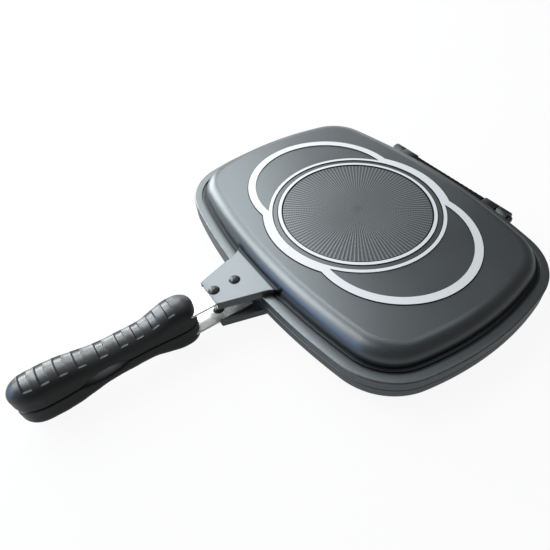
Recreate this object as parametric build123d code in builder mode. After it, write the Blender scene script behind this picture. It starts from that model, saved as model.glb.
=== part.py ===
"""Double sided flip pan: two rounded-rectangle cast halves hinged at the back edge.

Millimetres.  +Z is up, +X runs along the hinge, +Y points from the handles to the hinge.
The origin is the centre of the face that the closed pan rests on.

Both halves come from one casting shape.  Each piece is drawn in the frame of its own half:
local z = 0 is that half's rim and local +z points outwards, away from the other half.
"""

from build123d import *
from math import acos, asin, atan2, cos, degrees, hypot, pi, radians, sin, sqrt
import os

# ---------------------------------------------------------------- driving dimensions

# Pan outline: four long arcs joined by four corner arcs
pan_length = 360.0
pan_width = 262.0
long_side_radius = 617.0
short_side_radius = 305.0
corner_radius = 62.6

# Pan section
pan_depth = 27.3  # rim to the faces of the polished rings
ring_rise = 0.8  # rings above the coated face
wall = 3.0
flange_width = 13.5
flange_height = 9.5
flange_edge_round = 1.6
shoulder_radius = 15.5
cavity_corner_radius = 12.0
rim_gap = 0.6  # between the two rims of the closed pan

# Drip groove at the foot of the wall
drip_groove_inset = 8.2
drip_groove_width = 2.2
drip_groove_depth = 1.3

# Polished rings on the outer face
disc_ring_outer_radius = 78.7
disc_ring_inner_radius = 75.2
thin_ring_inner_radius = 84.2
thin_ring_outer_radius = 87.8
band_outer_radius = 93.7
side_ring_offset = 53.1
side_ring_inner_radius = 72.8
side_ring_outer_radius = 80.8

# Grill ribs inside the lower half
rib_count = 15
rib_pitch = 16.0
rib_width = 3.6
rib_height = 2.6
rib_length = 176.0
rib_shortening = 26.0  # the outermost rib is this much shorter

# Seal in the lower rim
seal_groove_inset = 9.0
seal_groove_width = 4.0
seal_groove_depth = 4.2
seal_side_clearance = 0.1
seal_top_clearance = 0.1

# Hinge at the back edge
hinge_setback = 5.5  # axis behind the outline at the pan's middle
knuckle_radius = 7.4
inner_knuckle_start = 52.0
inner_knuckle_length = 18.0
outer_knuckle_length = 14.4
knuckle_gap = 0.6
hinge_pin_radius = 2.5
hinge_running_clearance = 0.05
hinge_pin_head_radius = 4.0
hinge_pin_head_length = 3.5
hinge_pin_head_round = 1.2
hinge_pin_head_gap = 0.2
clip_gap = 0.2
clip_radius = 4.6
clip_thickness = 1.0
clip_fit = 0.02
pin_end_beyond_clip = 1.0

# Ear that carries the handle strap
ear_reach = 36.3  # front edge beyond the pan's outline
ear_front_half_width = 15.7
ear_root_inset = 5.0  # from the outline to where the flare begins
ear_root_half_width = 28.3
ear_flare_inset = 15.5
ear_flare_half_width = 37.5
ear_top = 15.6  # above the rim
ear_plate = 3.2
ear_skirt_depth = 7.6
ear_skirt_wall = 2.9
ear_edge_round = 0.9

# Strap, riveted under the ear
strap_width = 25.0
strap_thickness = 2.2
strap_corner_round = 1.5
strap_end_gap = 2.2  # between the pan's outline and the strap's inner end
strap_exposed = 16.1  # between the ear and the grip
tongue_width = 17.0

# Rivets
rivet_pitch = 20.6
front_rivet_setback = 5.2  # from the ear's front edge
rivet_shank_radius = 2.5
rivet_head_radius = 5.2
rivet_head_height = 2.9
rivet_fit = 0.02

# Handle halves, positions measured from the grip's nose
handle_length = 149.0
handle_face_gap = 0.2  # above the rim plane of its own half
handle_edge_round = 1.4
nose_half_width = 14.4
waist_half_width = 12.4
butt_half_width = 14.6
nose_height = 26.4
waist_height = 18.3
butt_height = 24.3
nose_crest = 15.6
waist_start = 50.6
waist_end = 74.6
butt_crest_setback = 28.4  # from the butt
nose_rounding = 14.0
butt_rounding = 24.0
nose_crest_rounding = 9.0
butt_crest_rounding = 13.0
butt_face_rounding = 10.0
butt_face_rise = 4.0  # of the inner face towards the tip
strap_shoulder = 19.6  # where the strap narrows to its tongue
tongue_end = 60.6
seat_mouth = 1.0  # cutter of the strap's seat beyond the nose

# Finger scallop in the inner face of each handle
scallop_centre = 83.6
scallop_length = 42.0
scallop_depth = 5.0

# Grip slots over the crest of each handle
grip_slot_positions = (21.5, 35.6, 49.7, 62.8, 79.2, 95.3, 108.6, 121.5, 133.5)
grip_slot_length = 5.8
grip_slot_depth = 1.4
grip_slot_half_angle = 43.0
grip_slot_reach = 4.0  # cutter beyond the crest

# Screws from the inner face, through the tongue, into brass inserts in the grip
handle_screw_positions = (29.6, 51.6)
screw_radius = 2.0
screw_head_radius = 3.8
screw_head_height = 2.4
screw_socket_radius = 1.6
screw_recess = 0.6
screw_clearance = 0.1
insert_radius = 3.2
insert_length = 3.4
insert_fit = 0.02
tongue_clearance = 0.15

# Magnets in the inner faces of the handles
magnet_setback = 29.4  # from the butt
magnet_radius = 7.0
magnet_thickness = 4.0
magnet_recess = 0.1
magnet_clearance = 0.1
magnet_chamfer = 0.3

# ---------------------------------------------------------------- frames and places

parting_height = pan_depth + rim_gap / 2
upper_frame = Plane(
    origin=(0, 0, parting_height + rim_gap / 2), x_dir=(1, 0, 0), z_dir=(0, 0, 1)
)
lower_frame = Plane(
    origin=(0, 0, parting_height - rim_gap / 2), x_dir=(-1, 0, 0), z_dir=(0, 0, -1)
)

face_height = pan_depth - ring_rise  # coated outer face
floor_height = face_height - wall  # inside floor
wall_foot_inset = flange_width
cavity_inset = flange_width + wall

hinge_axis_y = pan_width / 2 + hinge_setback
hinge_axis_z = -rim_gap / 2
outer_knuckle_start = inner_knuckle_start + inner_knuckle_length + knuckle_gap
outer_knuckle_end = outer_knuckle_start + outer_knuckle_length

ear_front = pan_width / 2 + ear_reach
ear_root = pan_width / 2 - ear_root_inset
ear_flare_end = pan_width / 2 - ear_flare_inset
ear_underside = ear_top - ear_plate
ear_skirt_bottom = ear_top - ear_skirt_depth
strap_underside = ear_underside - strap_thickness
strap_inner_end = pan_width / 2 + strap_end_gap
front_rivet_y = ear_front - front_rivet_setback
rear_rivet_y = front_rivet_y - rivet_pitch
handle_nose = ear_front + strap_exposed

ear_depth_into_wall = 6.0
flange_pocket_overlap = 2.0
arm_root = pan_width / 2 - flange_width
pin_grip = inner_knuckle_length + knuckle_gap + outer_knuckle_length


def side_plane(frame, distance):
    """Plane across X, its own x along the frame's y and its own y along the frame's z."""
    origin = frame.from_local_coords((distance, 0, 0))
    return Plane(origin=origin, x_dir=frame.y_dir, z_dir=frame.x_dir)


def spot(frame, distance):
    """The half's frame, moved towards the handle by the distance."""
    origin = frame.from_local_coords((0, -distance, 0))
    return Plane(origin=origin, x_dir=frame.x_dir, z_dir=frame.z_dir)


def cross_plane(frame, position):
    """Plane across the handle at the given position along the grip."""
    origin = frame.from_local_coords((0, -handle_nose - position, 0))
    return Plane(origin=origin, x_dir=frame.x_dir, z_dir=-frame.y_dir)


def hinge_plane(x):
    """Plane across the hinge axis at the given X."""
    return Plane(origin=(x, hinge_axis_y, parting_height), x_dir=(0, 1, 0), z_dir=(1, 0, 0))


# Stations of the loft along the grip, closer together where an end rounds off
nose_shares = (0.03, 0.14, 0.34, 0.62, 1.0)
butt_shares = (1.0, 0.66, 0.38, 0.18, 0.07, 0.02)
middle_stations = 7
butt_crest = handle_length - butt_crest_setback
magnet_position = handle_length - magnet_setback
middle_end = handle_length - butt_rounding
middle_step = (middle_end - nose_rounding) / (middle_stations + 1)
handle_stations = [share * nose_rounding for share in nose_shares]
handle_stations += [nose_rounding + middle_step * (index + 1) for index in range(middle_stations)]
handle_stations += [handle_length - share * butt_rounding for share in butt_shares]

# ---------------------------------------------------------------- sketches


def pan_outline(inset):
    """Face bounded by the pan's outline, moved inwards by the inset."""
    side_centre = (0, pan_width / 2 - long_side_radius)
    end_centre = (pan_length / 2 - short_side_radius, 0)
    to_side = long_side_radius - corner_radius
    to_end = short_side_radius - corner_radius
    dx = end_centre[0] - side_centre[0]
    dy = end_centre[1] - side_centre[1]
    span = hypot(dx, dy)
    turn = acos((to_side**2 + span**2 - to_end**2) / (2 * to_side * span))
    side_angle = atan2(dy, dx) - turn
    corner_x = side_centre[0] + to_side * cos(side_angle)
    corner_y = side_centre[1] + to_side * sin(side_angle)
    end_angle = atan2(corner_y - end_centre[1], corner_x - end_centre[0])
    side_turn = degrees(side_angle)
    end_turn = degrees(end_angle)
    with BuildSketch() as outline:
        with BuildLine():
            CenterArc(end_centre, short_side_radius - inset, 0, end_turn)
            CenterArc((corner_x, corner_y), corner_radius - inset, end_turn, side_turn - end_turn)
            CenterArc(side_centre, long_side_radius - inset, side_turn, 90 - side_turn)
            mirror(about=Plane.YZ)
            mirror(about=Plane.XZ)
        make_face()
    return outline.sketch


def ear_outline(side_inset):
    """Plan of the ear, flaring into the pan, with its sides moved inwards."""
    front = ear_front_half_width - side_inset
    root = ear_root_half_width - side_inset
    flare = ear_flare_half_width - side_inset
    inner_end = ear_flare_end - ear_depth_into_wall
    with BuildSketch() as outline:
        with BuildLine():
            Line((0, -ear_front), (front, -ear_front))
            side = Line((front, -ear_front), (root, -ear_root))
            TangentArc((root, -ear_root), (flare, -ear_flare_end), tangent=side % 1)
            Line((flare, -ear_flare_end), (flare, -inner_end))
            Line((flare, -inner_end), (0, -inner_end))
            mirror(about=Plane.YZ)
        make_face()
    return outline.sketch


def blend(position, start, end, first, last):
    """Cosine ease from first to last between two positions."""
    share = min(max((position - start) / (end - start), 0), 1)
    return first + (last - first) * (1 - cos(pi * share)) / 2


def end_rounding(distance, length):
    """Share of the full size at a distance from a rounded end."""
    if distance >= length:
        return 1
    return sqrt(1 - (1 - distance / length) ** 2)


def handle_half_width(position):
    width = blend(position, nose_crest, waist_start, nose_half_width, waist_half_width)
    width += blend(position, waist_end, butt_crest, 0, butt_half_width - waist_half_width)
    width *= end_rounding(position, nose_rounding)
    return width * end_rounding(handle_length - position, butt_rounding)


def handle_height(position):
    height = blend(position, nose_crest, waist_start, nose_height, waist_height)
    height += blend(position, waist_end, butt_crest, 0, butt_height - waist_height)
    height -= nose_crest_rounding * (1 - end_rounding(position, nose_rounding))
    to_butt = end_rounding(handle_length - position, butt_crest_rounding)
    return height - butt_crest_rounding * (1 - to_butt)


def handle_face(position):
    to_butt = end_rounding(handle_length - position, butt_face_rounding)
    return handle_face_gap + butt_face_rise * (1 - to_butt)


def handle_section(position):
    """Arched section of a handle half: flat inner face, soft edges, upright sides, round crest."""
    half_width = handle_half_width(position)
    spring = handle_height(position) - half_width
    flat = half_width - handle_edge_round
    face = handle_face(position)
    edge = face + handle_edge_round
    with BuildSketch() as section:
        with BuildLine():
            Line((-flat, face), (flat, face))
            CenterArc((flat, edge), handle_edge_round, 270, 90)
            Line((half_width, edge), (half_width, spring))
            ThreePointArc((half_width, spring), (0, spring + half_width), (-half_width, spring))
            Line((-half_width, spring), (-half_width, edge))
            CenterArc((-flat, edge), handle_edge_round, 180, 90)
        make_face()
    return section.sketch


# ---------------------------------------------------------------- pieces


def outward(frame):
    """Axis along a half's outward direction."""
    return Axis(frame.origin, frame.z_dir)


def make_ear(frame):
    """Ear with softened top edges, hollow underneath so that the strap lies between skirts."""
    with BuildPart() as ear:
        with BuildSketch(frame.offset(ear_skirt_bottom)):
            add(ear_outline(0))
        extrude(amount=ear_skirt_depth)
        ear_face = ear.faces().sort_by(outward(frame))[-1]
        fillet(ear_face.edges(), ear_edge_round)
        with BuildSketch(frame.offset(ear_skirt_bottom)):
            add(ear_outline(ear_skirt_wall))
            with Locations((0, -pan_width / 2 + flange_pocket_overlap)):
                Rectangle(pan_width, pan_width, align=(Align.CENTER, Align.MIN), mode=Mode.SUBTRACT)
        extrude(amount=ear_skirt_depth - ear_plate, mode=Mode.SUBTRACT)
        with BuildSketch(frame.offset(ear_underside)):
            with Locations((0, -front_rivet_y), (0, -rear_rivet_y)):
                Circle(rivet_shank_radius + rivet_fit)
        extrude(amount=ear_plate, mode=Mode.SUBTRACT)
    return ear.part


def make_cavity(frame):
    """Solid of the space inside one half, taken out of its casting."""
    with BuildPart() as cavity:
        with BuildSketch(frame):
            add(pan_outline(cavity_inset))
        extrude(amount=floor_height)
        floor = cavity.faces().sort_by(outward(frame))[-1]
        fillet(floor.edges(), cavity_corner_radius)
    return cavity.part


def make_pan(frame, knuckle_start, knuckle_length, pin_hole_radius):
    """One cast half: flange, wall, ear, hinge knuckles and the rings on its outer face."""
    knuckle_middle = knuckle_start + knuckle_length / 2
    cavity = make_cavity(frame)
    ear = make_ear(frame)
    with BuildPart() as casting:
        # Flange with a rounded outer edge
        with BuildSketch(frame):
            add(pan_outline(0))
        extrude(amount=flange_height)
        flange_top = casting.faces().sort_by(outward(frame))[-1]
        fillet(flange_top.edges(), flange_edge_round)
        # Wall and shoulder
        with BuildSketch(frame):
            add(pan_outline(wall_foot_inset))
        extrude(amount=face_height)
        outer_face = casting.faces().sort_by(outward(frame))[-1]
        fillet(outer_face.edges(), shoulder_radius)
        # Drip groove round the foot of the wall
        with BuildSketch(frame.offset(flange_height)):
            add(pan_outline(drip_groove_inset))
            add(pan_outline(drip_groove_inset + drip_groove_width), mode=Mode.SUBTRACT)
        extrude(amount=-drip_groove_depth, mode=Mode.SUBTRACT)
        add(ear)
        # Hinge knuckles with the arms that join them to the flange
        for side in (-1, 1):
            with BuildSketch(side_plane(frame, side * knuckle_middle)):
                with Locations((hinge_axis_y, hinge_axis_z)):
                    Circle(knuckle_radius)
                with BuildLine():
                    Polyline(
                        (arm_root, 0),
                        (hinge_axis_y, 0),
                        (hinge_axis_y, hinge_axis_z + knuckle_radius),
                        (arm_root, flange_height - flange_edge_round),
                        close=True,
                    )
                make_face()
            extrude(amount=knuckle_length / 2, both=True)
            with BuildSketch(side_plane(frame, side * knuckle_middle)):
                with Locations((hinge_axis_y, hinge_axis_z)):
                    Circle(pin_hole_radius)
            extrude(amount=knuckle_length / 2, both=True, mode=Mode.SUBTRACT)
        # Raised rings on the outer face
        with BuildSketch(frame.offset(face_height)):
            Circle(band_outer_radius)
            with Locations((side_ring_offset, 0), (-side_ring_offset, 0)):
                Circle(side_ring_outer_radius)
            with Locations((side_ring_offset, 0), (-side_ring_offset, 0)):
                Circle(side_ring_inner_radius, mode=Mode.SUBTRACT)
            Circle(thin_ring_outer_radius)
            Circle(thin_ring_inner_radius, mode=Mode.SUBTRACT)
            Circle(disc_ring_outer_radius)
            Circle(disc_ring_inner_radius, mode=Mode.SUBTRACT)
        extrude(amount=ring_rise)
        add(cavity, mode=Mode.SUBTRACT)
    return casting


def make_rim_seal(frame):
    """Silicone ring that fills the groove in a rim and stands a little proud of it."""
    outer_inset = seal_groove_inset + seal_side_clearance
    inner_inset = seal_groove_inset + seal_groove_width - seal_side_clearance
    proud = rim_gap - seal_top_clearance
    with BuildPart() as seal:
        with BuildSketch(frame.offset(-proud)):
            add(pan_outline(outer_inset))
            add(pan_outline(inner_inset), mode=Mode.SUBTRACT)
        extrude(amount=proud + seal_groove_depth - seal_side_clearance)
    return seal


def make_strap(frame):
    """Flat steel strap: wide under the ear, a narrower tongue inside the grip."""
    with BuildPart() as strap:
        with BuildSketch(frame.offset(strap_underside)):
            with Locations((0, -strap_inner_end)):
                RectangleRounded(
                    strap_width,
                    handle_nose + strap_shoulder - strap_inner_end,
                    strap_corner_round,
                    align=(Align.CENTER, Align.MAX),
                )
                RectangleRounded(
                    tongue_width,
                    handle_nose + tongue_end - strap_inner_end,
                    strap_corner_round,
                    align=(Align.CENTER, Align.MAX),
                )
        extrude(amount=strap_thickness)
        with BuildSketch(frame.offset(strap_underside)):
            with Locations((0, -front_rivet_y), (0, -rear_rivet_y)):
                Circle(rivet_shank_radius + rivet_fit)
            with Locations([(0, -handle_nose - place) for place in handle_screw_positions]):
                Circle(screw_radius + screw_clearance)
        extrude(amount=strap_thickness, mode=Mode.SUBTRACT)
    return strap


def make_rivet(frame):
    """Solid rivet with a domed head above the ear and another below the strap."""
    low = strap_underside
    high = ear_top
    dome_radius = (rivet_head_radius**2 + rivet_head_height**2) / (2 * rivet_head_height)
    half_turn = asin(rivet_head_radius / dome_radius) / 2
    reach = dome_radius * sin(half_turn)
    rise = rivet_head_height - dome_radius * (1 - cos(half_turn))
    with BuildPart() as rivet:
        with BuildSketch(side_plane(frame, 0)):
            with BuildLine():
                Line((0, low - rivet_head_height), (0, high + rivet_head_height))
                ThreePointArc(
                    (0, high + rivet_head_height), (reach, high + rise), (rivet_head_radius, high)
                )
                Line((rivet_head_radius, high), (rivet_shank_radius, high))
                Line((rivet_shank_radius, high), (rivet_shank_radius, low))
                Line((rivet_shank_radius, low), (rivet_head_radius, low))
                ThreePointArc(
                    (rivet_head_radius, low), (reach, low - rise), (0, low - rivet_head_height)
                )
            make_face()
        revolve(axis=outward(frame))
    return rivet


def make_handle(frame):
    """Moulded grip half, arched outside and flat inside."""
    with BuildPart() as handle:
        # Body, lofted through sections that close up towards the nose and the butt
        for position in handle_stations:
            with BuildSketch(cross_plane(frame, position)):
                add(handle_section(position))
        loft()
        # Finger scallop across the inner face
        scallop_radius = (scallop_length**2 / 4 + scallop_depth**2) / (2 * scallop_depth)
        with BuildSketch(side_plane(frame, 0)):
            with Locations(
                (-handle_nose - scallop_centre, handle_face_gap + scallop_depth - scallop_radius)
            ):
                Circle(scallop_radius)
        extrude(amount=butt_half_width * 2, both=True, mode=Mode.SUBTRACT)
        # Seat of the strap's shoulders and of its tongue
        seat_thickness = strap_thickness + 2 * tongue_clearance
        with BuildSketch(frame.offset(strap_underside - tongue_clearance)):
            with Locations((0, -handle_nose + seat_mouth)):
                Rectangle(
                    strap_width + 2 * tongue_clearance,
                    strap_shoulder + tongue_clearance + seat_mouth,
                    align=(Align.CENTER, Align.MAX),
                )
                Rectangle(
                    tongue_width + 2 * tongue_clearance,
                    tongue_end + tongue_clearance + seat_mouth,
                    align=(Align.CENTER, Align.MAX),
                )
        extrude(amount=seat_thickness, mode=Mode.SUBTRACT)
        # Screw holes from the inner face, and the seats of the brass inserts
        for position in handle_screw_positions:
            screw_spot = spot(frame, handle_nose + position)
            with BuildSketch(screw_spot.offset(handle_face_gap)):
                Circle(screw_head_radius + screw_clearance)
            extrude(amount=screw_recess + screw_head_height, mode=Mode.SUBTRACT)
            with BuildSketch(screw_spot.offset(handle_face_gap)):
                Circle(screw_radius + screw_clearance)
            extrude(amount=ear_underside - handle_face_gap, mode=Mode.SUBTRACT)
            with BuildSketch(screw_spot.offset(ear_underside)):
                Circle(insert_radius + insert_fit)
            extrude(amount=tongue_clearance + insert_length, mode=Mode.SUBTRACT)
        # Magnet pocket
        with BuildSketch(spot(frame, handle_nose + magnet_position).offset(handle_face_gap)):
            Circle(magnet_radius + magnet_clearance)
        extrude(amount=magnet_recess + magnet_thickness, mode=Mode.SUBTRACT)
        # Grip slots over the crest
        for position in grip_slot_positions:
            half_width = handle_half_width(position)
            spring = handle_height(position) - half_width
            inside = half_width - grip_slot_depth
            outside = half_width + grip_slot_reach
            lean = radians(grip_slot_half_angle)
            start = 90 - grip_slot_half_angle
            with BuildSketch(cross_plane(frame, position)):
                with BuildLine():
                    CenterArc((0, spring), outside, start, 2 * grip_slot_half_angle)
                    CenterArc((0, spring), inside, start, 2 * grip_slot_half_angle)
                    for side in (-1, 1):
                        Line(
                            (side * inside * sin(lean), spring + inside * cos(lean)),
                            (side * outside * sin(lean), spring + outside * cos(lean)),
                        )
                make_face()
            extrude(amount=grip_slot_length / 2, both=True, mode=Mode.SUBTRACT)
    return handle


def make_handle_screws(frame):
    """Cap screws, heads sunk below the inner face of the grip."""
    head_start = handle_face_gap + screw_recess
    length = ear_underside + tongue_clearance + insert_length - head_start
    with BuildPart() as screws:
        for position in handle_screw_positions:
            head_plane = spot(frame, handle_nose + position).offset(head_start)
            with BuildSketch(head_plane):
                Circle(screw_head_radius)
            extrude(amount=screw_head_height)
            with BuildSketch(head_plane):
                Circle(screw_radius)
            extrude(amount=length)
            with BuildSketch(head_plane):
                RegularPolygon(screw_socket_radius, 6)
            extrude(amount=screw_head_height / 2, mode=Mode.SUBTRACT)
    return screws


def make_handle_inserts(frame):
    """Threaded brass inserts moulded into the grip above the tongue."""
    with BuildPart() as inserts:
        for position in handle_screw_positions:
            insert_spot = spot(frame, handle_nose + position)
            with BuildSketch(insert_spot.offset(ear_underside + tongue_clearance)):
                Circle(insert_radius)
                Circle(screw_radius + insert_fit, mode=Mode.SUBTRACT)
            extrude(amount=insert_length)
    return inserts


def make_magnet(frame):
    """Disc magnet that keeps the two grips together."""
    with BuildPart() as magnet:
        seat = spot(frame, handle_nose + magnet_position)
        with BuildSketch(seat.offset(handle_face_gap + magnet_recess)):
            Circle(magnet_radius)
        extrude(amount=magnet_thickness)
        chamfer(magnet.edges(), magnet_chamfer)
    return magnet


def make_hinge_pin(head_face):
    """Pin along X whose head seats outside the knuckle face at the given X."""
    under_head = head_face + hinge_pin_head_gap
    far_end = head_face - pin_grip - clip_gap - clip_thickness - pin_end_beyond_clip
    with BuildPart() as pin:
        with BuildSketch(hinge_plane(under_head)):
            Circle(hinge_pin_head_radius)
        extrude(amount=hinge_pin_head_length)
        fillet(pin.edges().group_by(Axis.X)[-1], hinge_pin_head_round)
        with BuildSketch(hinge_plane(far_end)):
            Circle(hinge_pin_radius)
        extrude(amount=under_head - far_end)
    return pin


def make_pin_clip(head_face):
    """Push-on washer that holds the pin's far end."""
    with BuildPart() as clip:
        with BuildSketch(hinge_plane(head_face - pin_grip - clip_gap - clip_thickness)):
            Circle(clip_radius)
            Circle(hinge_pin_radius + clip_fit, mode=Mode.SUBTRACT)
        extrude(amount=clip_thickness)
    return clip


# ---------------------------------------------------------------- upper half

upper_pan = make_pan(
    upper_frame,
    inner_knuckle_start,
    inner_knuckle_length,
    hinge_pin_radius + hinge_running_clearance,
)
upper_strap = make_strap(upper_frame)
upper_front_rivet = make_rivet(spot(upper_frame, front_rivet_y))
upper_rear_rivet = make_rivet(spot(upper_frame, rear_rivet_y))
upper_handle = make_handle(upper_frame)
upper_handle_screws = make_handle_screws(upper_frame)
upper_handle_inserts = make_handle_inserts(upper_frame)
upper_magnet = make_magnet(upper_frame)

# ---------------------------------------------------------------- lower half

lower_casting = make_pan(
    lower_frame, outer_knuckle_start, outer_knuckle_length, hinge_pin_radius
)
with BuildPart() as lower_pan:
    add(lower_casting.part)
    # Groove for the seal
    with BuildSketch(lower_frame):
        add(pan_outline(seal_groove_inset))
        add(pan_outline(seal_groove_inset + seal_groove_width), mode=Mode.SUBTRACT)
    extrude(amount=seal_groove_depth, mode=Mode.SUBTRACT)
    # Grill ribs on the inside floor, shorter towards the ends
    for index in range(rib_count):
        place = index - (rib_count - 1) / 2
        share = abs(place) / ((rib_count - 1) / 2)
        length = rib_length - rib_shortening * share**2
        with BuildSketch(lower_frame.offset(floor_height)):
            with Locations((place * rib_pitch, 0)):
                SlotOverall(length, rib_width, rotation=90)
        extrude(amount=-rib_height)
rim_seal = make_rim_seal(lower_frame)
lower_strap = make_strap(lower_frame)
lower_front_rivet = make_rivet(spot(lower_frame, front_rivet_y))
lower_rear_rivet = make_rivet(spot(lower_frame, rear_rivet_y))
lower_handle = make_handle(lower_frame)
lower_handle_screws = make_handle_screws(lower_frame)
lower_handle_inserts = make_handle_inserts(lower_frame)
lower_magnet = make_magnet(lower_frame)

# ---------------------------------------------------------------- hinge hardware

left_hinge_pin = make_hinge_pin(-inner_knuckle_start)
right_hinge_pin = make_hinge_pin(outer_knuckle_end)
left_pin_clip = make_pin_clip(-inner_knuckle_start)
right_pin_clip = make_pin_clip(outer_knuckle_end)

# ---------------------------------------------------------------- output

pieces = {
    "upper_pan": upper_pan,
    "upper_strap": upper_strap,
    "upper_front_rivet": upper_front_rivet,
    "upper_rear_rivet": upper_rear_rivet,
    "upper_handle": upper_handle,
    "upper_handle_screws": upper_handle_screws,
    "upper_handle_inserts": upper_handle_inserts,
    "upper_magnet": upper_magnet,
    "lower_pan": lower_pan,
    "rim_seal": rim_seal,
    "lower_strap": lower_strap,
    "lower_front_rivet": lower_front_rivet,
    "lower_rear_rivet": lower_rear_rivet,
    "lower_handle": lower_handle,
    "lower_handle_screws": lower_handle_screws,
    "lower_handle_inserts": lower_handle_inserts,
    "lower_magnet": lower_magnet,
    "left_hinge_pin": left_hinge_pin,
    "right_hinge_pin": right_hinge_pin,
    "left_pin_clip": left_pin_clip,
    "right_pin_clip": right_pin_clip,
}
os.makedirs("parts", exist_ok=True)
for label, piece in pieces.items():
    piece.part.label = label
    export_step(piece.part, f"parts/{label}.step")
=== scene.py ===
"""Dresses the double sided flip pan: castings, polished rings, ears, hinge, straps and grips.

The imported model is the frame.  Each half is drawn in its own frame, whose z = 0 is that
half's rim and whose z points outwards, and is then carried to its place in the closed pan.
Lengths are metres.
"""

import bpy
import numpy as np
from bpy.props import FloatProperty, FloatVectorProperty, IntProperty, PointerProperty
from mathutils import Matrix, Vector


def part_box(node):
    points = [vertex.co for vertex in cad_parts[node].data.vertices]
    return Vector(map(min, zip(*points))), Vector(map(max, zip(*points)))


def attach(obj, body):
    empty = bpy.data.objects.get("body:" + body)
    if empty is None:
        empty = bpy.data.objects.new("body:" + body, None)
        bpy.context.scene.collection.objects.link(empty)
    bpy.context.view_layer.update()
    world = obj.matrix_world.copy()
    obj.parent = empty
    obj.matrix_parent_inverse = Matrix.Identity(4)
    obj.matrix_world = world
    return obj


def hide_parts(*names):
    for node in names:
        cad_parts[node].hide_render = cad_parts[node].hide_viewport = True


bl_info = {
    "name": "Flip Pan Dresser",
    "version": (1, 0, 0),
    "blender": (4, 5, 0),
    "location": "View3D > Sidebar > Flip Pan",
    "description": "Builds the visible pieces and finishes of a double sided flip pan",
    "category": "Object",
}

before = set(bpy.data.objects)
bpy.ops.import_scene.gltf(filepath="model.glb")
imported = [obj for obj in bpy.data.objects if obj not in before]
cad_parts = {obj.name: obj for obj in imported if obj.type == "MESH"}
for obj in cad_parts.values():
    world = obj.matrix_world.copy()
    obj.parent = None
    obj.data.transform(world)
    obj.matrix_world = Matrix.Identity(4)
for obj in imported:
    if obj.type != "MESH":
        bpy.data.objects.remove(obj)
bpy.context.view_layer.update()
HALVES = ("upper", "lower")
MM = 0.001
SAME_POINT = 2e-7
SKIN = 0.02 * MM  # height of a foot or disc over the coated face, so that no two faces meet
RING_EDGE = 0.12 * MM
RING_ROOT = 0.4 * MM  # how deep a ring reaches into the casting
SLOT_LEAN = 43  # degrees from the crest to either end of a grip slot
LEVEL = 0.99  # the least |z| of the normal of a face that looks up or down
FINISH = "_finish"
LAMP_DISTANCE = 1.5
PAN_MIDDLE = 0.03  # about half the closed pan's height, where the lamps look
WHITE = (1.0, 1.0, 1.0)


# ---------------------------------------------------------------- properties


def length(description, millimetres):
    """A length property with its default in millimetres."""
    return FloatProperty(
        description=description, default=millimetres * MM, unit="LENGTH", precision=5
    )


def colour(description, *shade):
    """A colour property."""
    return FloatVectorProperty(
        description=description, default=shade, subtype="COLOR", size=3, min=0.0, max=1.0
    )


def factor(description, value):
    """A plain number from 0 to 1."""
    return FloatProperty(
        description=description, default=value, subtype="FACTOR", min=0.0, max=1.0
    )


def watts(description, value):
    """A lamp's power."""
    return FloatProperty(description=description, default=value, min=0.0, unit="POWER")


class FlipPanCasting(bpy.types.PropertyGroup):
    """Sizes of the two cast halves."""

    length: length("Outline along the hinge", 360.0)
    width: length("Outline from the ear to the hinge", 262.0)
    long_radius: length("Radius of the two long sides", 617.0)
    short_radius: length("Radius of the two ends", 305.0)
    corner_radius: length("Radius of the four corners", 62.6)
    depth: length("Rim to the polished rings", 27.3)
    rise: length("Height of the rings above the coated face", 0.8)
    wall: length("Thickness of the casting", 3.0)
    flange_width: length("Rim flange, from the outline to the wall", 13.5)
    flange_height: length("Thickness of the rim flange", 9.5)
    flange_edge: length("Rounding of the flange's outer edge", 1.6)
    shoulder: length("Rounding between wall and outer face", 15.5)
    cavity_corner: length("Rounding between inside wall and floor", 12.0)
    rim_gap: length("Gap between the two closed rims", 0.6)
    groove_inset: length("Drip groove, from the outline", 8.2)
    groove_width: length("Width of the drip groove", 2.2)
    groove_depth: length("Depth of the drip groove", 1.3)
    seal_inset: length("Seal groove, from the outline", 9.0)
    seal_width: length("Width of the seal groove", 4.0)
    seal_depth: length("Depth of the seal groove", 4.2)


class FlipPanRings(bpy.types.PropertyGroup):
    """Sizes of the raised rings and of the rayed disc."""

    disc: length("Outer radius of the disc's ring", 78.7)
    disc_inner: length("Inner radius of the disc's ring", 75.2)
    thin_inner: length("Inner radius of the thin ring", 84.2)
    thin_outer: length("Outer radius of the thin ring", 87.8)
    band_outer: length("Outer radius of the broad band", 93.7)
    side_offset: length("Centre of a side ring from the pan's centre", 53.1)
    side_inner: length("Inner radius of a side ring", 72.8)
    side_outer: length("Outer radius of a side ring", 80.8)
    foot: length("Fillet at the foot of the rings", 0.75)
    rays: IntProperty(description="Fine rays on the disc", default=120, min=24, max=360)
    ray_depth: length("Relief of the rays", 0.08)


class FlipPanEar(bpy.types.PropertyGroup):
    """Sizes of the ear that carries the handle strap."""

    front: length("Front edge from the pan's centre", 167.3)
    front_half: length("Half the width of the front edge", 15.7)
    root: length("Where the flare begins", 126.0)
    root_half: length("Half the width where the flare begins", 28.3)
    flare: length("Where the flare ends inside the wall", 115.5)
    flare_half: length("Half the width at the flare's end", 37.5)
    top: length("Height above the rim", 15.6)
    plate: length("Thickness of the top plate", 3.2)
    skirt: length("Depth of the side skirts", 7.6)
    skirt_wall: length("Thickness of the side skirts", 2.9)
    edge: length("Rounding of the top edges", 0.9)
    fillet: length("Rounding between the ear and the wall", 3.6)


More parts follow.
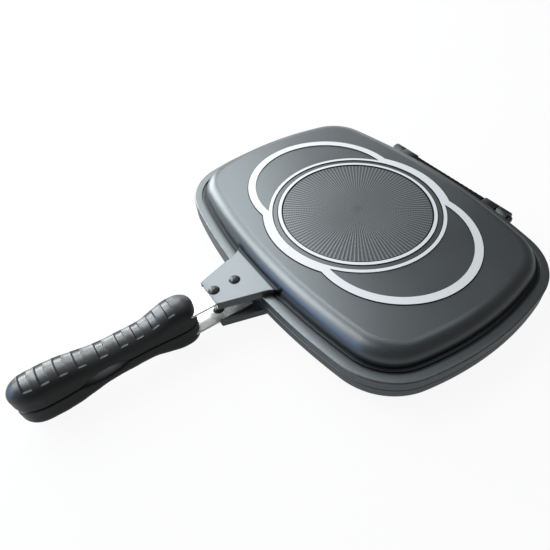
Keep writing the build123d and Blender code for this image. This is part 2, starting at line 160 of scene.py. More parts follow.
class FlipPanHinge(bpy.types.PropertyGroup):
    """Sizes of the hinge at the back edge."""

    setback: length("Axis behind the outline", 5.5)
    knuckle: length("Radius of the knuckles", 7.4)
    inner_start: length("Start of the upper half's knuckles", 52.0)
    inner_length: length("Length of the upper half's knuckles", 18.0)
    outer_length: length("Length of the lower half's knuckles", 14.4)
    gap: length("Gap between two knuckles", 0.6)
    pin: length("Radius of the hinge pins", 2.5)
    head: length("Radius of a pin's head", 4.0)
    head_length: length("Length of a pin's head", 3.5)


class FlipPanHandle(bpy.types.PropertyGroup):
    """Sizes of the straps, rivets and grips."""

    strap_width: length("Width of the steel strap", 25.0)
    strap_thickness: length("Thickness of the steel strap", 2.2)
    strap_start: length("Inner end of the strap", 133.2)
    strap_shoulder: length("Where the strap narrows", 203.0)
    tongue_width: length("Width of the strap inside the grip", 17.0)
    tongue_end: length("Outer end of the tongue", 244.0)
    rivet_front: length("Front rivet from the pan's centre", 162.1)
    rivet_pitch: length("Distance between the rivets", 20.6)
    rivet_head: length("Radius of a rivet's head", 5.2)
    rivet_height: length("Height of a rivet's head", 2.9)
    rivet_shank: length("Radius of a rivet's shank", 2.5)
    nose: length("Where the near end's rounding closes", 183.4)
    butt: length("Where the far end's rounding closes", 332.4)
    nose_cut: length("Flat that trims the near end", 0.42)
    butt_cut: length("Flat that trims the far end", 0.5)
    nose_half: length("Half width at the nose", 14.4)
    waist_half: length("Half width at the waist", 12.4)
    butt_half: length("Half width at the butt", 14.6)
    nose_height: length("Height at the nose", 26.4)
    waist_height: length("Height at the waist", 18.3)
    butt_height: length("Height at the butt", 24.3)
    nose_crest: length("Place of the crest near the nose", 199.0)
    waist_start: length("Where the waist begins", 234.0)
    waist_end: length("Where the waist ends", 258.0)
    butt_crest: length("Place of the crest near the butt", 304.0)
    nose_round: length("Rounding in plan at the nose", 14.0)
    butt_round: length("Rounding in plan at the butt", 24.0)
    crest_round: length("Rounding of the crest at the nose", 9.0)
    butt_crest_round: length("Rounding of the crest at the butt", 13.0)
    face: length("Inner face above the rim plane", 0.2)
    face_round: length("Rounding of the inner face at the butt", 10.0)
    face_rise: length("Rise of the inner face at the butt", 4.0)
    face_edge: length("Rounding of the inner face's edges", 1.4)
    scallop_centre: length("Place of the finger scallop", 267.0)
    scallop_length: length("Length of the finger scallop", 42.0)
    scallop_depth: length("Depth of the finger scallop", 5.0)
    slots: FloatVectorProperty(
        description="Grip slots, from the nose", size=9, unit="LENGTH",
        default=(0.0215, 0.0356, 0.0497, 0.0628, 0.0792, 0.0953, 0.1086, 0.1215, 0.1335),
    )
    slot_length: length("Size of a slot along the grip", 5.8)
    slot_depth: length("Depth of a slot", 1.4)


class FlipPanFinishes(bpy.types.PropertyGroup):
    """Colours of the finishes."""

    coating: colour("Non-stick coating on the castings", 0.138, 0.149, 0.157)
    coating_light: colour("Lighter grains of the coating", 0.205, 0.220, 0.230)
    ear: colour("Brushed flat of the ears", 0.225, 0.241, 0.256)
    aluminium: colour("Machined aluminium of the rings", 0.80, 0.805, 0.81)
    steel: colour("Polished steel of the straps", 0.93, 0.93, 0.92)
    rivet: colour("Blackened rivets", 0.045, 0.048, 0.050)
    grip: colour("Moulded grips", 0.013, 0.0134, 0.014)
    # Painted sheen: a lighter tone on the crest of the grips.
    painted_grip_sheen: colour("Crest of the grips", 0.15, 0.152, 0.156)
    seal: colour("Silicone seal", 0.045, 0.045, 0.047)
    hinge: colour("Blackened hinge pins", 0.030, 0.030, 0.032)
    brass: colour("Threaded inserts", 0.75, 0.55, 0.24)


class FlipPanStage(bpy.types.PropertyGroup):
    """Floor, lamps and camera."""

    floor: colour("Colour of the floor", 0.32, 0.32, 0.32)
    world: factor("Level of the even light from all round", 0.11)
    key: watts("Soft lamp in front on the left, halfway up", 9.6)
    middle: watts("Weak lamp between the key lamp and the left one", 2.2)
    low: watts("Soft lamp low on the left", 13.0)
    left: watts("Tall soft lamp behind on the left", 7.8)
    back: watts("Wide lamp low behind on the left", 4.2)
    front: watts("Tall lamp in front", 4.6)
    top: watts("Weak lamp high behind on the right", 1.1)
    fill: watts("Bluish lamp low in front", 3.2)
    lens: FloatProperty(description="Focal length", default=30.68, unit="CAMERA")


# ---------------------------------------------------------------- mesh helpers


def grid_faces(rows, columns, close_rows=False, close_columns=True):
    """Quads between neighbouring points of a rows by columns grid, as one index array."""
    row = np.arange(rows if close_rows else rows - 1)[:, None]
    column = np.arange(columns if close_columns else columns - 1)[None, :]
    next_row = (row + 1) % rows * columns
    next_column = (column + 1) % columns
    corners = np.broadcast_arrays(
        row * columns + column, row * columns + next_column, next_row + next_column,
        next_row + column,
    )
    return np.stack(corners, -1).reshape(-1, 4)


def surface(points, close_rows=False, close_columns=True):
    """A grid of points, rows by columns by 3, as flat points and quads."""
    rows, columns = points.shape[:2]
    return points.reshape(-1, 3), grid_faces(rows, columns, close_rows, close_columns)


def strip(first, second, close=False):
    """Quads between two rows of points."""
    return surface(np.stack([first, second]), close_columns=close)


def join(*chunks):
    """Several point and face arrays as one."""
    starts = np.cumsum([0] + [len(points) for points, _ in chunks])
    points = np.concatenate([points for points, _ in chunks])
    faces = np.concatenate([faces + start for (_, faces), start in zip(chunks, starts)])
    return points, faces


def capped(rings):
    """A tube of rings with a fan over its first and its last ring."""
    caps = [np.stack([ring, np.broadcast_to(ring.mean(0), ring.shape)]) for ring in rings[[0, -1]]]
    return join(surface(rings), *(surface(cap) for cap in caps))


def along_x(places, sections):
    """Sections of y and z, rows by columns by 2, each at its own place along x."""
    x = np.broadcast_to(places[:, None, None], sections.shape[:2] + (1,))
    return np.concatenate([x, sections], -1)


def weld(points, faces):
    """Merges equal points, drops faces shrunk to a line, and tells which points it kept."""
    keys = np.round(points / SAME_POINT).astype(np.int64)
    _, first, place = np.unique(keys, axis=0, return_index=True, return_inverse=True)
    faces = place.reshape(-1)[faces]
    corners = (faces != np.roll(faces, -1, axis=1)).sum(1)
    crossed = (faces[:, 0] == faces[:, 2]) | (faces[:, 1] == faces[:, 3])
    return points[first], faces[(corners >= 3) & ~crossed], first


def turned_outwards(points, faces):
    """Whether the faces look outwards, which makes the enclosed volume positive."""
    a, b, c, d = (points[faces[:, index]] for index in range(4))
    volume = np.einsum("ij,ij->", a, np.cross(b, c)) + np.einsum("ij,ij->", a, np.cross(c, d))
    return volume >= 0


def on_half(points, half):
    """Carries points from a half's own frame to the closed pan."""
    casting = bpy.context.scene.flip_pan_casting
    side = 1 if half == "upper" else -1
    rim = casting.depth + casting.rim_gap / 2 + side * casting.rim_gap / 2
    return points * (side, 1, side) + (0, 0, rim)


def solid_mesh(name, points, faces):
    """A closed mesh whose faces look outwards, and the rows its points came from."""
    points, faces, first = weld(points, faces)
    if not turned_outwards(points, faces):
        faces = faces[:, ::-1]
    keep = faces != np.roll(faces, -1, axis=1)
    mesh = bpy.data.meshes.new(name)
    mesh.from_pydata(points, [], [face[mask].tolist() for face, mask in zip(faces, keep)])
    mesh.update()
    if mesh.validate():
        raise RuntimeError(f"{name} has faults in its mesh")
    return mesh, first


def build(name, chunk, finish, body, nodes, slot, half=None, rub=None, crease=32, sides=None):
    """Makes one closed piece from points and quads, dresses it and lets it ride.

    With a half, the points are in that half's own frame.  The values given for wear and shade go
    into an attribute named after that argument: real wear above 0, painted shade below 0.  Edges
    sharper than the crease, in degrees, stay sharp.  With a finish for the sides, the faces that
    don't look up or down get that one.
    """
    points, faces = chunk
    if half is not None:
        points = on_half(points, half)
    mesh, first = solid_mesh(name, points, faces)
    mesh.polygons.foreach_set("use_smooth", np.ones(len(mesh.polygons), bool))
    mesh.set_sharp_from_angle(angle=np.radians(crease))
    if rub is not None:
        layer = mesh.attributes.new("rub", "FLOAT", "POINT")
        layer.data.foreach_set("value", rub.reshape(-1)[first].astype(np.float32))
    mesh.materials.append(finish)
    if sides is not None:
        mesh.materials.append(sides)
        normal = np.empty(len(mesh.polygons) * 3, np.float32)
        mesh.polygons.foreach_get("normal", normal)
        upright = np.abs(normal[2::3]) < LEVEL
        mesh.polygons.foreach_set("material_index", upright.astype(np.int32))
    piece = bpy.data.objects.new(name, mesh)
    bpy.context.scene.collection.objects.link(piece)
    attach(piece, body)
    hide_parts(*nodes)
    return piece


def build_on(half, name, chunk, finish, node, **more):
    """A piece of one half that rides on its body and replaces its node."""
    return build(f"{half}_{name}", chunk, finish, f"{half}_half", [f"{half}_{node}"], half=half,
                 **more)


def arc(centre, radius, start, end, count):
    """Points on an arc, angles in degrees."""
    angle = np.radians(np.linspace(start, end, count))
    return np.stack([centre[0] + radius * np.cos(angle), centre[1] + radius * np.sin(angle)], -1)


def polar_points(radius, angle, height):
    """Points about z: x = r cos a, y = r sin a, z = height."""
    places = np.broadcast_arrays(radius * np.cos(angle), radius * np.sin(angle), height)
    return np.stack(places, -1)


def revolve(profile, count):
    """Turns a profile of radius and height about z."""
    angle = np.linspace(0, 2 * np.pi, count, endpoint=False)
    return polar_points(profile[:, :1], angle, profile[:, 1:])


def ease(value):
    """Smooth step from 0 to 1."""
    value = np.clip(value, 0, 1)
    return value * value * (3 - 2 * value)


# ---------------------------------------------------------------- shapes


def outline_arcs(casting, counts=(30, 26, 44)):
    """Centre, radius and outward direction at points round the outline.

    The outline is four long arcs joined by corner arcs.  The corner's centre is where
    circles of (long radius - corner radius) and (short radius - corner radius) cross.
    A point at inset d is centre + (radius - d) * direction.
    """
    side = np.array([0, casting.width / 2 - casting.long_radius])
    end = np.array([casting.length / 2 - casting.short_radius, 0])
    to_side = casting.long_radius - casting.corner_radius
    to_end = casting.short_radius - casting.corner_radius
    gap = end - side
    span = np.hypot(*gap)
    turn = np.arccos((to_side**2 + span**2 - to_end**2) / (2 * to_side * span))
    side_angle = np.arctan2(gap[1], gap[0]) - turn
    corner = side + to_side * np.array([np.cos(side_angle), np.sin(side_angle)])
    end_angle = np.arctan2(corner[1] - end[1], corner[0] - end[0])
    angles = np.concatenate([
        np.linspace(0, end_angle, counts[0], endpoint=False),
        np.linspace(end_angle, side_angle, counts[1], endpoint=False),
        np.linspace(side_angle, np.pi / 2, counts[2]),
    ])
    centre = np.repeat([end, corner, side], counts, axis=0)
    radius = np.repeat([casting.short_radius, casting.corner_radius, casting.long_radius], counts)
    direction = np.stack([np.cos(angles), np.sin(angles)], -1)
    back = slice(-2, None, -1)

    def whole(values, signed):
        turned = [values, values[back] * ((-1, 1) if signed else 1)]
        turned += [values[1:] * ((-1, -1) if signed else 1)]
        turned += [values[back][:-1] * ((1, -1) if signed else 1)]
        return np.concatenate(turned)

    return whole(centre, True), whole(radius, False), whole(direction, True)


def around_outline(casting, profile, shares=None):
    """Sweeps a profile of inset and height round the outline.

    A share below 1 draws the point towards the pan's centre, which closes a flat face.
    """
    centre, radius, direction = outline_arcs(casting)
    inset = profile[:, 0][:, None]
    plan = centre + (radius - inset)[..., None] * direction
    if shares is not None:
        plan = plan * shares[:, None, None]
    height = np.broadcast_to(profile[:, 1][:, None, None], plan.shape[:2] + (1,))
    return np.concatenate([plan, height], -1)


def shell_profile(casting, half):
    """Half section of a casting, from the middle of its outer face round to the inside floor."""
    face = casting.depth - casting.rise
    floor = face - casting.wall
    foot = casting.flange_width
    inside = foot + casting.wall
    top = casting.flange_height
    root = 0.3 * MM
    lip = 0.35 * MM
    edge = casting.flange_edge
    groove, groove_floor = casting.groove_inset, top - casting.groove_depth
    groove_end = groove + casting.groove_width
    shoulder = foot + casting.shoulder
    parts = [
        arc((shoulder, face - casting.shoulder), casting.shoulder, 90, 180, 30),
        arc((foot - root, top + root), root, 0, -90, 6),
        arc((groove_end + lip, top - lip), lip, 90, 180, 4),
        [(groove_end, groove_floor), (groove, groove_floor)],
        arc((groove - lip, top - lip), lip, 0, 90, 4),
        arc((edge, top - edge), edge, 90, 180, 9),
        arc((lip, lip), lip, 180, 270, 4),
    ]
    if half == "lower":
        seal, depth = casting.seal_inset, casting.seal_depth
        seal_end = seal + casting.seal_width
        parts.append([(seal, 0), (seal, depth), (seal_end, depth), (seal_end, 0)])
    corner = casting.cavity_corner
    parts += [
        arc((inside - lip, lip), lip, 270, 360, 4),
        arc((inside + corner, floor - corner), corner, 180, 90, 20),
    ]
    middle = np.concatenate(parts)
    last_share = 0.996
    steps = np.append(np.linspace(0, 1, 9)[:-1], last_share)
    outer = np.tile(middle[:1], (len(steps), 1))
    inner = np.tile(middle[-1:], (len(steps), 1))
    shares = np.concatenate([steps, np.ones(len(middle)), steps[::-1]])
    return np.concatenate([outer, middle, inner]), shares


def shell_wear_and_shade(casting, points):
    """How much a point lies on a rubbed edge, from 0 to 1, or in the corner that gets a painted
    shade, down to -1.

    The rubbed edge is the flange's; the painted shade in the corner runs from the drip groove up
    the wall's foot.
    """
    below_top, edge_height, edge_width = 0.6 * MM, 0.9 * MM, 1.6 * MM
    groove_bottom, fade, foot = -2 * MM, 0.1 * MM, 2.8 * MM
    height = points[..., 2]
    edge = np.exp(-(((height - casting.flange_height + below_top) / edge_height) ** 2))
    centre, radius, direction = outline_arcs(casting)
    out = np.einsum("...j,...j->...", points[..., :2] - centre, direction) - radius
    rubbed = edge * np.exp(-((out / edge_width) ** 2))
    # Painted shade: the corner between the drip groove and the wall's foot goes below 0.
    within = ease((-out - casting.groove_inset + fade) / (2 * fade))
    above = height - casting.flange_height
    corner = within * (above > groove_bottom) * (1 - ease((above - fade) / foot))
    return rubbed * (1 - corner) - corner


def ring_tracery(casting, rings):
    """Raised rings as one strip round the centre, in polar form.

    Along a direction a, with c = offset * |cos a| and q = offset * sin a, a side ring lies
    between c + sqrt(inner^2 - q^2) and c + sqrt(outer^2 - q^2).  The strip runs from the
    thin ring to the larger of the band and the side ring, and a lune is cut between the
    thin ring and the side ring's inner circle wherever that circle lies further out.
    """
    offset = rings.side_offset
    cusps = [
        np.arccos((radius**2 + offset**2 - side**2) / (2 * radius * offset))
        for radius, side in ((rings.thin_outer, rings.side_inner),
                             (rings.band_outer, rings.side_outer))
    ]
    beside = np.array([-2e-4, 0, 2e-4, 4e-3])
    near = np.concatenate([cusp + beside for cusp in cusps])
    quarter = np.unique(np.concatenate([np.linspace(0, np.pi / 2, 200), near]))
    angle = np.concatenate([quarter, np.pi - quarter[-2::-1]])
    angle = np.concatenate([angle, angle[1:-1] + np.pi])
    along = offset * np.abs(np.cos(angle))
    across = offset * np.sin(angle)
    side_inner = along + np.sqrt(rings.side_inner**2 - across**2)
    side_outer = along + np.sqrt(rings.side_outer**2 - across**2)
    far = np.maximum(rings.band_outer, side_outer)
    start = np.maximum(rings.thin_outer, side_inner)
    is_open = side_inner > rings.thin_outer + SAME_POINT / 2
    face = casting.depth - casting.rise
    top = casting.depth
    edge = RING_EDGE
    soft = np.minimum(edge, (start - rings.thin_outer) / 3)
    pit_depth = 0.15 * MM
    pit = np.where(is_open, face - pit_depth, top)
    sink = face - RING_ROOT
    foot = rings.foot
    skin = face + SKIN
    rows = [
        (rings.thin_inner - foot, sink), (rings.thin_inner - foot, skin),
        (rings.thin_inner, skin + foot / 2), (rings.thin_inner, top - edge),
        (rings.thin_inner + edge, top), (rings.thin_outer - soft, top),
        (rings.thin_outer, top - soft), (rings.thin_outer, pit),
        (start, pit), (start, top - soft), (start + soft, top),
        (far - edge, top), (far, top - edge), (far, skin + foot / 2),
        (far + foot, skin), (far + foot, sink),
    ]
    radius, height = (np.array([row[part] + 0 * angle for row in rows]) for part in (0, 1))
    return surface(polar_points(radius, angle, height), close_rows=True)


def disc_ring(casting, rings):
    """The disc's polished ring: a turned band with softened edges."""
    inner, outer, foot, edge = rings.disc_inner, rings.disc, rings.foot, RING_EDGE
    top = casting.depth
    skin = top - casting.rise + SKIN
    sink = skin - RING_ROOT
    above_disc = 0.14 * MM
    profile = np.array([
        (inner - foot, sink), (inner - foot, skin + above_disc), (inner, skin + foot / 2),
        (inner, top - edge), (inner + edge, top), (outer - edge, top), (outer, top - edge),
        (outer, skin + foot / 2), (outer + foot, skin), (outer + foot, sink),
    ])
    return surface(revolve(profile, 360), close_rows=True)


def rayed_disc(casting, rings):
    """The sunken disc: height = base + depth * (1 + cos(rays * a)) / 2 * ramp(r)."""
    smallest, plain, span, rim = 3 * MM, 14 * MM, 34 * MM, 0.8 * MM
    under_ring, thickness = 0.2 * MM, 0.3 * MM
    angle = np.linspace(0, 2 * np.pi, rings.rays * 6, endpoint=False)
    radius = np.geomspace(smallest, rings.disc_inner + under_ring, 26)
    radius = np.concatenate([[0], radius])[:, None]
    base = casting.depth - casting.rise + SKIN
    ramp = ease((radius - plain) / span) * ease((rings.disc_inner - radius) / rim)
    top = base + rings.ray_depth * (1 + np.cos(rings.rays * angle)) / 2 * ramp
    upper = polar_points(radius, angle, top)
    under = polar_points(radius, angle, base - thickness)
    return surface(np.concatenate([upper, under[::-1]]))


def flare_stations(ear):
    """Half width of the ear at its stations: straight sides, then an arc that opens out.

    The arc starts in the side's direction and passes through the flare's end; its radius
    is the chord over twice the sine of the angle between side and chord.
    """
    heading = np.arctan2(ear.root_half - ear.front_half, ear.front - ear.root)
    chord = np.array([ear.flare_half - ear.root_half, ear.root - ear.flare])
    swing = np.arctan2(chord[0], chord[1]) - heading
    radius = np.hypot(*chord) / (2 * np.sin(swing))
    turn = heading + np.linspace(0, 2 * swing, 14)
    arc_half = ear.root_half + radius * (np.cos(heading) - np.cos(turn))
    arc_place = ear.root - radius * (np.sin(turn) - np.sin(heading))
    place = np.linspace(ear.front - ear.edge, ear.root, 16)[:-1]
    half = np.interp(place, [ear.root, ear.front], [ear.root_half, ear.front_half])
    return np.concatenate([place, arc_place]), np.concatenate([half, arc_half])


def mirrored(side, bend, flat, sign=1):
    """A row over the ear: up one side, round its bend, along the top and down the other side."""
    return np.concatenate([side, bend, flat, sign * bend[::-1], sign * side[::-1]])


def ear_shape(casting, ear):
    """Hollow ear: an arch-shaped section carried from the front edge into the wall.

    The top rises near the wall by r - sqrt(r^2 - t^2), where t is how far the point is
    into the fillet.  The inner contour is the outer one held inside the skirts and the plate.
    """
    tiny, nearly = 1e-6, 0.999
    pocket_wall, wall_lean, steepest = 2 * MM, 0.7 * MM, 0.97
    place, half = flare_stations(ear)
    pocket_end = casting.width / 2 - pocket_wall
    pocket_half = np.interp(-pocket_end, -place, half)
    order = np.searchsorted(-place, -pocket_end)
    place = np.insert(place, order, [pocket_end, pocket_end - tiny])
    half = np.insert(half, order, [pocket_half, pocket_half])
    hollow = place > pocket_end - tiny / 2
    turn = np.linspace(0, np.pi / 2, 6)[:-1]
    front_place = ear.front - ear.edge * (1 - np.cos(turn))
    cut = ear.edge * (1 - np.sin(turn))
    place = np.concatenate([front_place, place])
    shrink = np.concatenate([cut, np.zeros(len(half))])[:, None]
    slope = (ear.root_half - ear.front_half) / (ear.front - ear.root)
    front_half = ear.front_half + slope * (ear.front - front_place)
    half = np.concatenate([front_half, half])[:, None]
    hollow = np.concatenate([np.ones(len(turn), bool), hollow])[:, None]
    bottom = ear.top - ear.skirt
    corner = arc((-1, -1), 1, 0, 90, 6)
    none, one = np.zeros(5), np.ones(6)
    across = np.linspace(1, -1, 35)[1:-1]
    level = 0 * across
    rise_z = mirrored(np.linspace(0, 1, 5) * nearly, one, level + 1)
    edge_x = mirrored(none, corner[:, 0], level)
    edge_z = mirrored(none, corner[:, 1], level)
    sign = mirrored(none + 1, one, across, -1)
    flat = mirrored(none, 0 * one, level + 1)
    outer_half = half - shrink
    reach = np.where(flat > 0, outer_half - ear.edge, outer_half)
    outer_x = sign * reach + np.sign(sign) * edge_x * ear.edge
    top = ear.top - shrink
    side_top = top - ear.edge
    outer_z = np.where(rise_z < 1, bottom + rise_z * (side_top - bottom), top + edge_z * ear.edge)
    y = -place[:, None] + 0 * outer_x
    long_centre = casting.long_radius - casting.width / 2
    inset = casting.long_radius - np.hypot(outer_x, y - long_centre)
    wall_at_top = casting.flange_width + wall_lean
    into = np.clip(inset - (wall_at_top - ear.fillet), 0, steepest * ear.fillet)
    lift = ear.fillet - np.sqrt(ear.fillet**2 - into**2)
    outer_z = outer_z + np.where(outer_z > side_top, lift, 0)
    limit = outer_half + shrink - ear.skirt_wall
    inner_x = np.clip(outer_x, -limit, limit)
    ceiling = np.where(hollow, ear.top - ear.plate, bottom)
    inner_z = np.minimum(outer_z, ceiling)
    outer = np.stack([outer_x, y, outer_z], -1)
    inner = np.stack([inner_x, y, inner_z], -1)
    loop = np.concatenate([outer, inner[:, ::-1]], 1)
    return join(surface(loop), strip(outer[0], inner[0]), strip(outer[-1], inner[-1]))


def knuckle_shape(casting, hinge, start, size):
    """A hinge knuckle and its arm: one section along x, softened at both ends, with a bore."""
    axis = np.array([casting.width / 2 + hinge.setback, -casting.rim_gap / 2])
    sunk = 4 * MM
    arm = casting.width / 2 - casting.flange_width + sunk
    top = casting.flange_height - casting.flange_edge
    under = np.linspace((arm, 0), (axis[0] - hinge.knuckle, 0), 6)[:-1]
    barrel = arc(axis, hinge.knuckle, 178, 449, 40)
    over = np.linspace((axis[0], axis[1] + hinge.knuckle), (arm, top), 8)[1:]
    back = np.linspace((arm, top), (arm, 0), 4)[1:-1]
    section = np.concatenate([under, barrel, over, back])
    bore = arc(axis, hinge.pin, 170, 530, len(section) + 1)[:-1]
    soft = 0.5 * MM
    pull = np.array([1, 0.3, 0, 0, 0.3, 1]) * soft
    ends = np.array([0, 0.3 * soft, soft, size - soft, size - 0.3 * soft, size]) + start
    towards = section.mean(0) - section
    towards /= np.linalg.norm(towards, axis=1, keepdims=True)
    outside = along_x(ends, section + pull[:, None, None] * towards)
    inside = along_x(ends[[0, -1]], np.stack([bore, bore]))
    return join(
        surface(outside),
        surface(inside[::-1]),
        strip(inside[0], outside[0], close=True),
        strip(outside[-1], inside[1], close=True),
    )


def lip_shape(casting, hinge):
    """Lip behind the flange between the knuckles: one rounded section carried along x."""
    back = casting.width / 2
    soft, proud, inside = 2.4 * MM, 4.2 * MM, 5 * MM
    low, high = 3.4 * MM, 5.4 * MM
    section = np.concatenate([
        arc((back + proud, low), soft, -90, 0, 9),
        arc((back + proud, high), soft, 0, 90, 9),
        [(back - inside, high + soft), (back - inside, low - soft)],
    ])
    ripple, ripple_length = 0.12 * MM, 6.5 * MM
    reach = (hinge.inner_start - hinge.gap) * np.linspace(-1, 1, 41)
    wave = ripple * np.sin(reach * 2 * np.pi / ripple_length)[:, None, None]
    return capped(along_x(reach, section + wave * (section[:, :1] > back)))


def bar_shape(place, half, low, high):
    """Flat bar along -y: a rounded rectangle at each station, with both ends closed."""
    soft = 0.35 * MM
    turn = np.radians([0, 30, 60, 90])
    corner = np.stack([np.cos(turn) - 1, np.sin(turn) - 1], -1) * soft
    x_sign = np.array([1, -1, -1, 1])
    z_sign = np.array([1, 1, -1, -1])
    shift = np.stack([corner, corner[::-1], corner, corner[::-1]])
    x_shift = (shift[..., 0] * x_sign[:, None]).reshape(-1)
    z_shift = (shift[..., 1] * z_sign[:, None]).reshape(-1)
    x = half[:, None] * np.repeat(x_sign, 4) + x_shift
    z = np.where(np.repeat(z_sign, 4) > 0, high, low) + z_shift + 0 * x
    return capped(np.stack([x, -place[:, None] + 0 * x, z], -1))


def rivet_profile(handle, low, high):
    """Half section of a rivet: two domed heads, each a cap of a sphere, and a shank."""
    head, rise = handle.rivet_head, handle.rivet_height
    radius = (head**2 + rise**2) / (2 * rise)
    span = np.degrees(np.arcsin(head / radius))
    dome = arc((0, rise - radius), radius, 90, 90 - span, 22)
    dome[0, 0] = 0
    shank = [(handle.rivet_shank, 0)]
    upper = np.concatenate([dome, shank]) + (0, high)
    lower = np.concatenate([dome, shank])[::-1] * (1, -1) + (0, low)
    return np.concatenate([upper, lower])


def blend(place, start, end, first, last):
    """Cosine ease from first to last between two places."""
    share = np.clip((place - start) / (end - start), 0, 1)
    return first + (last - first) * (1 - np.cos(np.pi * share)) / 2


def end_rounding(distance, size):
    """Quarter circle that grows from 0 to 1 over the rounded end."""
    return np.sqrt(1 - (1 - np.clip(distance / size, 0, 1)) ** 2)


def grip_stations(handle):
    """Places along the grip: closer together at the ends and at the slots' edges."""
    ends = []
    for cut, size, count in (
        (handle.nose_cut, handle.nose_round, 20), (handle.butt_cut, handle.butt_round, 24),
    ):
        ends.append(size * (1 - np.cos(np.linspace(np.arccos(1 - cut / size), np.pi / 2, count))))
    nose = handle.nose + ends[0]
    butt = handle.butt - ends[1]
    step, nearest = 0.9 * MM, 0.05 * MM
    middle = np.arange(nose[-1], butt[-1], step)
    slots = handle.nose + np.array(handle.slots)
    edges = np.linspace(-0.9, 0.9, 9) * MM
    near = [slots[:, None] + side * (handle.slot_length / 2 + edges) for side in (-1, 1)]
    stations = np.unique(np.concatenate([nose, butt, middle, *(part.ravel() for part in near)]))
    return stations[np.concatenate([[True], np.diff(stations) > nearest])]


def along_grip(handle, place, nose, waist, butt):
    """A size that eases from nose to waist and from waist to butt."""
    first = blend(place, handle.nose_crest, handle.waist_start, nose, waist)
    return first + blend(place, handle.waist_end, handle.butt_crest, 0, butt - waist)


def grip_slots(handle, place, over):
    """How far the slots press in the crest, less a faint raised lip round each of them.

    The rows are the places along the grip, the columns the angles over its arch.
    """
    lean, slope = np.radians(SLOT_LEAN), 0.11
    slots = handle.nose + np.array(handle.slots)
    nearest = np.abs(place - slots).argmin(1)[:, None]
    offset = slots[nearest] - place
    wall = np.where(offset < 0, 1.0 * MM, 0.6 * MM)
    along_in = (handle.slot_length / 2 - np.abs(offset)) / wall
    around_in = (lean - np.abs(over - np.pi / 2)) / slope
    inside = ease(along_in + 0.5) * ease(around_in + 0.5)
    out_along = np.clip(-along_in * wall / MM, 0, None)
    out_around = np.clip(-around_in * slope * handle.nose_half / MM, 0, None)
    beyond = np.hypot(out_along, out_around)
    lip_height, lip_place, lip_width = 0.22 * MM, 0.75, 0.45
    lip = lip_height * np.exp(-(((beyond - lip_place) / lip_width) ** 2)) * (1 - inside)
    return handle.slot_depth * inside - lip


def grip_face(handle, place):
    """Height of the inner face: a circular scallop for the fingers, and a rise at the butt."""
    reach, depth, soft = handle.scallop_length / 2, handle.scallop_depth, 0.5 * MM
    bend = (reach**2 + depth**2) / (2 * depth)
    offset = np.clip(np.abs(place - handle.scallop_centre), 0, bend)
    scoop = np.clip(np.sqrt(bend**2 - offset**2) - bend + depth, 0, None)
    scoop = np.sqrt(scoop**2 + soft**2) - soft
    drop = 1 - end_rounding(handle.butt - place, handle.face_round)
    return handle.face + scoop + handle.face_rise * drop


def grip_shape(handle):
    """Grip half: an arched section whose width and crest follow the place along it.

    Width and height ease between nose, waist and butt and close by quarter circles at the
    ends.  The section is a half circle over upright sides, with softened lower edges; the
    slots push the crest inwards, and a circular scallop lifts the inner face.
    """
    place = grip_stations(handle)[:, None]
    near = end_rounding(place - handle.nose, handle.nose_round)
    far = end_rounding(handle.butt - place, handle.butt_round)
    to_butt = end_rounding(handle.butt - place, handle.butt_crest_round)
    width = along_grip(handle, place, handle.nose_half, handle.waist_half, handle.butt_half)
    width = width * near * far
    crest = along_grip(handle, place, handle.nose_height, handle.waist_height, handle.butt_height)
    crest = crest - handle.crest_round * (1 - near) - handle.butt_crest_round * (1 - to_butt)
    spring = crest - width
    lean = np.radians(SLOT_LEAN)
    edges = np.linspace(-0.09, 0.09, 9)
    over = np.unique(np.concatenate([
        np.linspace(0, np.pi, 61), np.pi / 2 - lean - edges, np.pi / 2 + lean + edges,
    ]))
    wide_enough = width > handle.slot_depth * 2
    radius = width - grip_slots(handle, place, over) * wide_enough
    inner = grip_face(handle, place)
    soft = np.minimum(handle.face_edge, width * 0.6)
    down = np.linspace(1, 0, 7)[1:]
    side_x = width + 0 * down
    side_z = inner + soft + (spring - inner - soft) * down
    corner = np.radians(np.linspace(0, 90, 6))[1:]
    corner_x = width - soft * (1 - np.cos(corner))
    corner_z = inner + soft * (1 - np.sin(corner))
    flat_x = (width - soft) * np.linspace(1, -1, 21)[1:-1]
    x = [radius * np.cos(over), -side_x, -corner_x, -flat_x, corner_x[:, ::-1], side_x]
    z = [spring + radius * np.sin(over), side_z, corner_z, inner + 0 * flat_x,
         corner_z[:, ::-1], side_z[:, ::-1]]
    x = np.concatenate(x, 1)
    return capped(np.stack([x, -place + 0 * x, np.concatenate(z, 1)], -1))


def rib_shape(middle, half_length, half_width, floor, height):
    """A grill rib across the inside floor: a stadium in plan with a rounded, closed crest."""
    sunk, upright = 0.6 * MM, 0.35
    turn = np.linspace(0, 2 * np.pi, 40, endpoint=False)
    side = half_length - half_width
    rise = np.linspace(0, np.pi / 2, 7)[1:]
    width = half_width * np.concatenate([[1, 1], np.cos(rise) ** 0.6])[:, None]
    crest = -height * (upright + (1 - upright) * np.sin(rise))
    level = np.concatenate([[sunk, -height * upright], crest])
    x = middle + width * np.cos(turn)
    y = np.sign(np.sin(turn)) * side * (width > 0) + width * np.sin(turn)
    y = np.where(np.abs(np.sin(turn)) < 1e-9, 0, y)
    ring = np.stack([x, y, floor + level[:, None] + 0 * x], -1)
    return surface(np.concatenate([ring[:1] * (0, 0, 1) + (middle, 0, 0), ring]))


# ---------------------------------------------------------------- shader helpers


